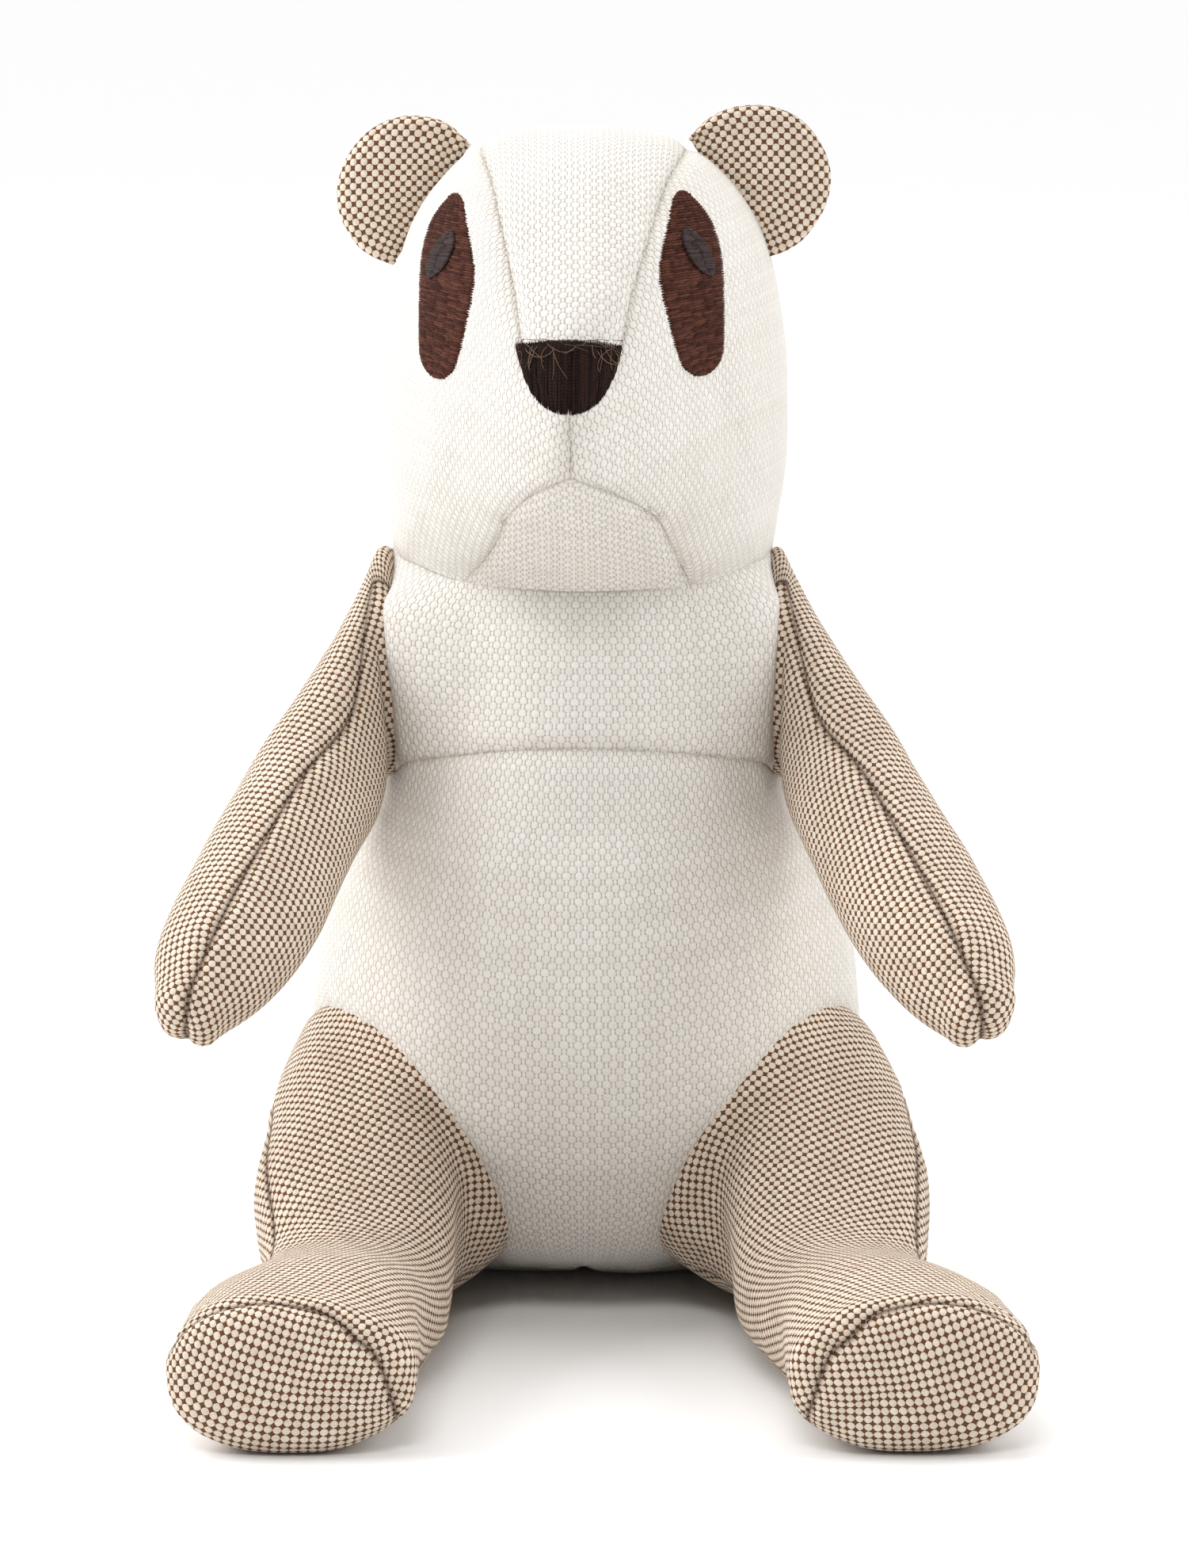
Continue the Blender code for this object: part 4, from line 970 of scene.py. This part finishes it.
def canvas(name, pitch, bead, under, between, tone_and_shade, shade, relief):
    """Plain-weave canvas: rounded beads of one yarn, the crossing yarn seen between them; painted shade in
    the hollows.
    """
    p = Paint(bpy.data.materials.new(name))
    one_colour = under == bead
    uv = p.read("ShaderNodeUVMap", "UV", uv_map="weave")
    # The yarns wander a little; u and v count them
    wander = p.read("ShaderNodeTexNoise", "Color", (uv, None, 150.0, 2.0))
    bent = p.read("ShaderNodeVectorMath", 0, (wander, (pitch * 0.6,) * 3, uv), operation="MULTIPLY_ADD")
    u, v = (place / pitch for place in p.split(bent)[:2])
    row, column = p.math("FLOOR", u), p.math("FLOOR", v)
    fu, fv = (p.math("ABSOLUTE", p.math("FRACT", x) - 0.5) for x in (u, v))
    odd = p.math("FLOORED_MODULO", row + column, 2.0)
    # Every other cell holds a bead that swells over into its neighbours
    far, near = p.math("MAXIMUM", fu, fv), p.math("MINIMUM", fu, fv)
    toward = far + odd * (1.0 - far * 2.0)
    off_bead = toward * toward + near * near * (1.0 - odd * 0.4)
    seen = odd * p.span(off_bead, between - 0.035, between + 0.035)
    wide, tall, high, ply_share = (1.9, 0.75, 0.88, 0.05) if one_colour else (1.0, 1.0, 0.30, 0.10)
    low = p.dome((fu * fu * wide + fv * fv * tall) / 0.22) * high
    height = p.math("MAXIMUM", p.dome(off_bead / 0.60) * (1.0 - seen), low * odd)
    fuzz = p.noise(uv, 2600.0, 3.0, 0.65)
    ply = p.math("SINE", (u * 1.5 + v * 3.1) * (2 * math.pi) + fuzz * 5.0)
    pair = p.read("ShaderNodeCombineXYZ", 0, (row, column))
    cell = p.read("ShaderNodeTexWhiteNoise", "Value", (pair,), noise_dimensions="2D")
    tone = p.random(row) + p.random(column + 0.5) + cell
    broad = p.noise(uv, 26.0, 3.0, 0.55)
    colour = p.mix(seen, bead, under)
    # Multiplies in the darker colour for the random tone of yarns and cells, for broad patches and fibre
    # fuzz, and as painted shade in the low places between the beads
    for share in (p.span(tone, 0.3, 2.7, 0.0, 0.22), p.span(broad, 0.35, 0.7, 0.0, 0.10),
                  p.span(fuzz, 0.25, 0.75, 0.22, 0.0), p.span(height, 0.18, 0.72, shade, 0.0)):
        colour = p.mix(share, colour, tone_and_shade, "MULTIPLY")
    # Painted shade in the seam grooves: on the white canvas in its tone colour, on the two-tone canvas
    # narrower and in a darker brown
    seam = p.read("ShaderNodeAttribute", "Fac", attribute_name="seam")
    share, seam_shade = (seam * 0.30, tone_and_shade) if one_colour else (p.math("POWER", seam, 2.2) * 0.85, SEAM_SHADE)
    p.bump(height + (ply * ply_share + fuzz * 0.25), relief)
    return p.finish(p.mix(share, colour, seam_shade, "MULTIPLY"), 0.95, 0.05)


def thread(name, colour, pale_and_lit, roughness):
    """Embroidery thread: twisted plies along each strand, painted shade between them, and a tone of its own
    for every strand.
    """
    p = Paint(bpy.data.materials.new(name))
    number, along, _ = p.split(p.read("ShaderNodeUVMap", "UV", uv_map="strand"))
    ply = p.math("SINE", number * (4 * math.pi) + along * (3000 * math.pi)) * 0.5 + 0.5
    place = p.read("ShaderNodeTexCoord", "Object")
    patch = p.noise(place, 900.0, 3.0, 0.7)
    # The strand's random tone and the patches are the thread's own; the ply term is painted shade between
    # the plies and painted light on their crests
    share = p.random(p.math("FLOOR", number)) * 0.34 + patch * 0.50 + ply * 0.30
    p.bump(ply + p.noise(place, 2600.0, 2.0, 0.6), 0.00006)
    return p.finish(p.mix(p.span(share, 0.25, 0.95), colour, pale_and_lit), roughness)


# The colour of the painted shade in the two-tone canvas's seam grooves
SEAM_SHADE = (0.20, 0.14, 0.10)
CREAM = (0.87, 0.845, 0.805)
# After the threshold: the darker colour for tone and for painted shade between the beads (on the white
# canvas also in the seams), then how deep that painted shade goes
WHITE = canvas("white_canvas", 0.00122, CREAM, CREAM, 0.44, (0.70, 0.64, 0.56), 0.70, 0.00034)
TWO_TONE = canvas("two_tone_canvas", 0.00113, (0.96, 0.86, 0.725), (0.26, 0.125, 0.058), 0.395,
                  (0.46, 0.32, 0.22), 0.60, 0.00042)


# ---- making it

bodies = {"torso": build_torso(), "head": build_head()}
for label, sign in SIDES:
    for kind, build in (("ear", build_ear), ("arm", build_arm), ("leg", build_leg)):
        bodies[f"{kind}_{label}"] = build(label, sign)

# How far the stuffing may swell each kind of body, its groove depth, pucker and lumps
DRESSING = {"torso": (0.0012, 0.0005, 0.0003, 0.0007), "head": (0.0007, 0.00048, 0.00024, 0.0005),
            "ear": (0.0006, 0.0003, 0.00015, 0.0003), "arm": (0.0006, 0.0007, 0.00025, 0.0003),
            "leg": (0.0006, 0.00045, 0.00035, 0.0005)}
stuffed([(body, DRESSING[name.split("_")[0]][0]) for name, body in bodies.items()])
for name, body in bodies.items():
    kind = name.split("_")[0]
    applied(body, "SUBSURF", levels=2, render_levels=2, uv_smooth="PRESERVE_BOUNDARIES",
            boundary_smooth="ALL", use_limit_surface=False)
    dressed(body, *DRESSING[kind][1:], floor=kind in ("torso", "leg"))
head = bodies["head"].data
head_tree = BVHTree.FromPolygons([v.co + SHIFT for v in head.vertices],
                                 [tuple(f.vertices) for f in head.polygons])

# The pieces of every body, in the order of its panels: a name, then the CAD nodes it stands for
PIECES = {
    "torso": [("belly", "belly_panel", "torso_stuffing", "pellet_bag"), ("chest", "chest_panel"),
              ("back_left", "back_panel_left"), ("back_right", "back_panel_right")],
    "head": [("crown", "crown_gusset", "head_stuffing"), ("chin", "chin_panel"),
             ("cheek_left", "cheek_panel_left"), ("cheek_right", "cheek_panel_right")],
}
LIMB_PARTS = {"ear": (("front", "wadding"), ("back",)), "arm": (("outer", "stuffing"), ("inner",)),
              "leg": (("top", "stuffing"), ("under",))}
for label, _ in SIDES:
    for kind, panel_parts in LIMB_PARTS.items():
        PIECES[f"{kind}_{label}"] = [
            (f"{kind}{parts[0]}_{label}", *(f"{kind}_{part}_{label}" for part in parts))
            for parts in panel_parts]

# The joint at a limb's root, and how far along its normal a limb's move would start and be full; the loop
# below works these out but moves nothing
BLENDS = {"leg": ("hip_", 0.001, 0.024), "arm": ("shoulder_", 0.002, 0.018)}
for name, pieces in PIECES.items():
    kind, _, label = name.partition("_")
    stuff = TWO_TONE if label else WHITE
    for obj, (_, *nodes) in zip(panels(bodies[name], [piece[0] for piece in pieces], stuff), pieces):
        if kind in BLENDS:
            joint, gap, length = BLENDS[kind]
            root, normal = joint_plane(joint + label, dict(SIDES)[label])
            start = root + SHIFT + normal * gap
            tuple(start + normal * length)
            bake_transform(obj)
        else:
            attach(obj, name)
        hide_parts(*nodes)


# ---- embroidery

def face_point(x, z, lift):
    """A point on the face at a place seen from the front, lifted off the cloth."""
    hit, normal, _, _ = head_tree.ray_cast(Vector((x, -0.2, z)), Vector((0, 1, 0)))
    if hit is None:
        hit, normal, _, _ = head_tree.find_nearest(Vector((x, DEPTH - 0.02, z)))
    return hit + normal * lift


def strand(mesh, uv, path, radius, flat, number, sides=6):
    """A thread along a path: a slightly flattened tube with rounded ends."""
    path = [Vector(p) for p in path]
    rings = []
    total = 0.0
    for k, p in enumerate(path):
        ahead = path[min(k + 1, len(path) - 1)] - path[max(k - 1, 0)]
        ahead.normalize()
        nearest, normal, _, _ = head_tree.find_nearest(p)
        side = ahead.cross(normal).normalized()
        lift = side.cross(ahead).normalized()
        if lift.dot(normal) < 0:
            lift = -lift
        if k:
            total += (p - path[k - 1]).length
        share = k / (len(path) - 1)
        size = radius * math.sqrt(max(0.04, 1 - abs(2 * share - 1) ** 14))
        ring = []
        for j in range(sides):
            a = 2 * math.pi * j / sides
            ring.append(mesh.verts.new(p + side * math.cos(a) * size + lift * math.sin(a) * size * flat))
        rings.append((ring, total))
    for (a, la), (b, lb) in zip(rings, rings[1:]):
        for j in range(sides):
            k = (j + 1) % sides
            f = mesh.faces.new((a[j], a[k], b[k], b[j]))
            for loop, (s, t) in zip(f.loops, ((j, la), (j + 1, la), (j + 1, lb), (j, lb))):
                loop[uv].uv = (number + 0.02 + 0.96 * s / sides, t)
    mesh.faces.new(rings[0][0][::-1])
    mesh.faces.new(rings[-1][0])


def embroidered(name, paths, radius, flat, stuff, nodes):
    mesh = bmesh.new()
    uv = mesh.loops.layers.uv.new("strand")
    for number, path in enumerate(paths):
        strand(mesh, uv, path, radius, flat, number)
    bmesh.ops.recalc_face_normals(mesh, faces=mesh.faces)
    obj = as_object(name, mesh)
    obj.data.shade_smooth()
    obj.data.materials.append(stuff)
    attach(obj, "head")
    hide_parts(*nodes)


def wobble(k, seed):
    return noise.noise((k * 0.73, seed, 1.7))


# Each thread: its dark colour, its paler colour, which also serves as painted light on the ply crests, and
# its roughness
BROWN = thread("eye_thread", (0.026, 0.0065, 0.0045), (0.140, 0.050, 0.032), 0.85)
GREY = thread("pupil_thread", (0.020, 0.013, 0.012), (0.085, 0.062, 0.060), 0.85)
BLACK = thread("nose_thread", (0.0024, 0.0010, 0.0006), (0.034, 0.0150, 0.0100), 0.8)
FIBRE = thread("fibre", (0.10, 0.06, 0.04), (0.30, 0.20, 0.14), 0.6)

# From the top down: how far the edges nearer the ear and nearer the nose lie from the eye's outer line
EYE_OUTLINE = (
    (0.0, 0.62, 0.68), (0.03, 0.50, 0.77), (0.07, 0.385, 0.81), (0.15, 0.22, 0.86), (0.23, 0.12, 0.92),
    (0.31, 0.06, 0.975), (0.39, 0.027, 1.0), (0.47, 0.012, 0.985), (0.55, 0.008, 0.945), (0.63, 0.0, 0.887),
    (0.71, 0.0, 0.84), (0.79, 0.0, 0.783), (0.87, 0.013, 0.72), (0.93, 0.05, 0.65), (0.975, 0.15, 0.53),
    (1.0, 0.3, 0.4),
)
EYE_INWARD = {1: 0.0012, -1: 0.0010}
EYE_LIFT = {1: 0.0010, -1: -0.0003}
PUPIL_SPOT = dict(across=0.44, down=0.325, half_width=0.185, half_height=0.128, lean=0.17)


def eye_frame(label, side):
    """A call that gives the place seen from the front for an outline place of this eye."""
    low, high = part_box("eye_patch_" + label)
    width, tall = (high.x - low.x) * 0.98, (high.z - low.z) * 0.98
    outer = (high.x if side > 0 else low.x) - side * EYE_INWARD[side]
    top = high.z + EYE_LIFT[side]
    return lambda across, down: (outer - side * across * width, top - down * tall)


def eye(label, side):
    place = eye_frame(label, side)
    down, outer, inner = np.array(EYE_OUTLINE).T
    paths = []
    count = 74
    for layer, lift in ((0, 0.00016), (1, 0.00034)):
        for k in range(count):
            t = (k + 0.5 + 0.5 * layer) / count
            if t > 0.995:                # past the outline's foot
                continue
            a = float(smooth_through(down, outer, t)) + 0.012 * wobble(k, 8.7)
            b = float(smooth_through(down, inner, t)) + 0.030 * wobble(k, 3.1 + layer)
            slope = 0.006 * wobble(k, 5.5 + layer)
            cuts = [0.0, 1.0]
            if layer:
                cuts = [0.0, *(c + 0.14 * wobble(k, 14.1 + 9 * c) for c in (0.2, 0.4, 0.6, 0.8)), 1.0]
            for first, last in zip(cuts, cuts[1:]):
                path = []
                points = 9 if last - first > 0.9 else 4
                for s in np.linspace(max(0, first - 0.02), min(1, last + 0.02), points):
                    x, z = place(a + (b - a) * s, t + slope * (s - 0.5) + 0.022 * (s - first - 0.1) * layer)
                    path.append(face_point(x, z, lift * (1 - (2 * s - 1) ** 6)))
                paths.append(path)
    embroidered("eye_" + label, paths, 0.00028, 0.7, BROWN, ["eye_patch_" + label])


def pupil(label, side):
    place = eye_frame(label, side)
    spot = PUPIL_SPOT
    paths = []
    count = 38
    for k in range(count):
        t = (k + 0.5) / count * 2 - 1
        reach = math.sqrt(1 - abs(t) ** 2.2)
        cut = 0.5 * wobble(k, 4.4)
        for a, b in ((-1, cut + 0.06), (cut - 0.06, 1)):
            path = []
            for s in np.linspace(a, b, 5):
                across = spot["across"] + spot["half_width"] * reach * s - spot["lean"] * t
                x, z = place(across, spot["down"] + spot["half_height"] * (t - 0.04 * s))
                path.append(face_point(x, z, 0.00074 + 0.00012 * (1 - s * s) * reach))
            paths.append(path)
    embroidered("pupilstitch_" + label, paths, 0.00021, 0.7, GREY, ["pupil_" + label])


def nose():
    low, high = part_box("nose_embroidery")
    middle_x, half = (low.x + high.x) / 2 - 0.0006, (high.x - low.x) / 2 * 0.955
    top, bottom = high.z - 0.0004, low.z
    paths = []
    count = 58
    for layer, lift in ((0, 0.0002), (1, 0.0005), (2, 0.0008)):
        for k in range(count):
            t = (k + 0.5 + 0.33 * layer) / count * 2 - 1
            if abs(t) >= 0.99:
                continue
            x = middle_x + t * half * (1 - 0.02 * layer)
            crest = top - 0.0013 * abs(t) ** 2.0 + 0.00045 * wobble(k, 2.2 + layer)
            foot = top - 0.0042 - (top - bottom - 0.0042) * (1 - abs(t) ** 2.4) ** 0.60
            foot += 0.00012 * wobble(k, 6.4 + layer)
            slant = 0.0004 * wobble(k, 9.9 + layer) - 0.0012 * t
            path = []
            for s in np.linspace(0, 1, 9):
                dome = lift * (1 - 0.7 * (2 * s - 1) ** 4) * (1 - 0.5 * t * t)
                dome -= 0.0003 * math.exp(-(t / 0.06) ** 2) * s
                path.append(face_point(x + slant * s, crest + (foot - crest) * s, dome))
            paths.append(path)
    embroidered("nose_stitches", paths, 0.00031, 0.8, BLACK, ["nose_embroidery"])


def nose_fibres():
    """A few pale fibres that stray over the nose from its upper edge."""
    low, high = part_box("nose_embroidery")
    middle_x, half = (low.x + high.x) / 2 - 0.0006, (high.x - low.x) / 2
    paths = []
    for k in range(34):
        t = 0.92 * math.sin(k * 2.4 + 0.7)
        x, z = middle_x + t * half * 0.88, high.z - 0.0012 - 0.0035 * abs(wobble(k, 21.0))
        heading, bend = 6.0 * wobble(k, 23.0) - 1.2, 9.0 * wobble(k, 25.0)
        pace = 0.00045 + 0.0004 * wobble(k, 27.0)
        path = []
        for step in range(12):
            path.append(face_point(x, z, 0.00125 + 0.0003 * math.sin(0.5 * step)))
            x += pace * math.cos(heading)
            z = min(z + pace * math.sin(heading), high.z - 0.0008)
            x = middle_x + max(-half * 0.86, min(half * 0.86, x - middle_x))
            heading += bend * 0.05
        paths.append(path)
    embroidered("nose_fibres", paths, 0.00006, 1.0, FIBRE, ["nose_embroidery"])


for label, sign in SIDES:
    eye(label, sign)
    pupil(label, sign)
nose()
nose_fibres()


# ---- floor, light and camera

bpy.ops.mesh.primitive_grid_add(x_subdivisions=8, y_subdivisions=8, size=12.0, location=(0, 0, 0))
floor = bpy.context.object
floor.name = "floor"
paint = Paint(bpy.data.materials.new("floor_paint"))
soft = paint.span(paint.noise(paint.read("ShaderNodeTexCoord", "Object"), 3.0), 0.3, 0.7, 0.0, 0.02)
floor.data.materials.append(paint.finish(paint.mix(soft, (0.93, 0.93, 0.93), (0.90, 0.90, 0.90)), 0.7))

# A white room whose front is dimmer than its top, sides and back
scene = bpy.context.scene
scene.world = bpy.data.worlds.new("studio")
room = Paint(scene.world, "Background")
back = room.split(room.read("ShaderNodeTexCoord", "Generated"))[1]
room.put(room.shader.inputs["Strength"], room.span(back, -0.9, 0.45, 0.13, 1.03))
room.put(room.shader.inputs["Color"], (1.0, 1.0, 1.0, 1.0))


def lamp(name, kind, place, target, **settings):
    """A lamp of this kind that looks from its place to the target."""
    obj = add_object(name, set_all(bpy.data.lights.new(name, kind), **settings))
    obj.location = place
    obj.rotation_euler = (Vector(target) - Vector(place)).to_track_quat("-Z", "Y").to_euler()


lamp("key", "SUN", (-0.35, 0.35, 1.0), (0, 0, 0), energy=1.20, angle=math.radians(70.0))
for name, place, height, width, tall, power in (
        ("left", (-1.1, 0.0, 0.80), 0.13, 0.7, 0.9, 9.0),
        ("right", (1.1, 0.05, 0.80), 0.13, 0.7, 0.9, 6.0),
        ("front", (-0.10, -0.76, 0.94), 0.17, 0.45, 0.30, 3.6)):
    lamp(name, "AREA", place, (0, DEPTH, height), shape="RECTANGLE", size=width, size_y=tall, energy=power)
scene.view_settings.view_transform = "Standard"

# The photo's pixels are 0.165 mm at the torso, and 1979 of them high
TILT, DISTANCE, AIM_HEIGHT = math.radians(10.0), 1.30, 0.1015
SENSOR, PIXEL, IMAGE_HEIGHT = 36.0, 0.000165, 1979
camera = add_object("camera", bpy.data.cameras.new("camera"))
camera.location = (0.002, DEPTH - DISTANCE * math.cos(TILT), AIM_HEIGHT + DISTANCE * math.sin(TILT))
camera.rotation_euler = (math.pi / 2 - TILT, 0, 0)
set_all(camera.data, sensor_fit="VERTICAL", sensor_height=SENSOR, sensor_width=SENSOR,
        lens=SENSOR * DISTANCE / PIXEL / IMAGE_HEIGHT)
scene.camera = camera
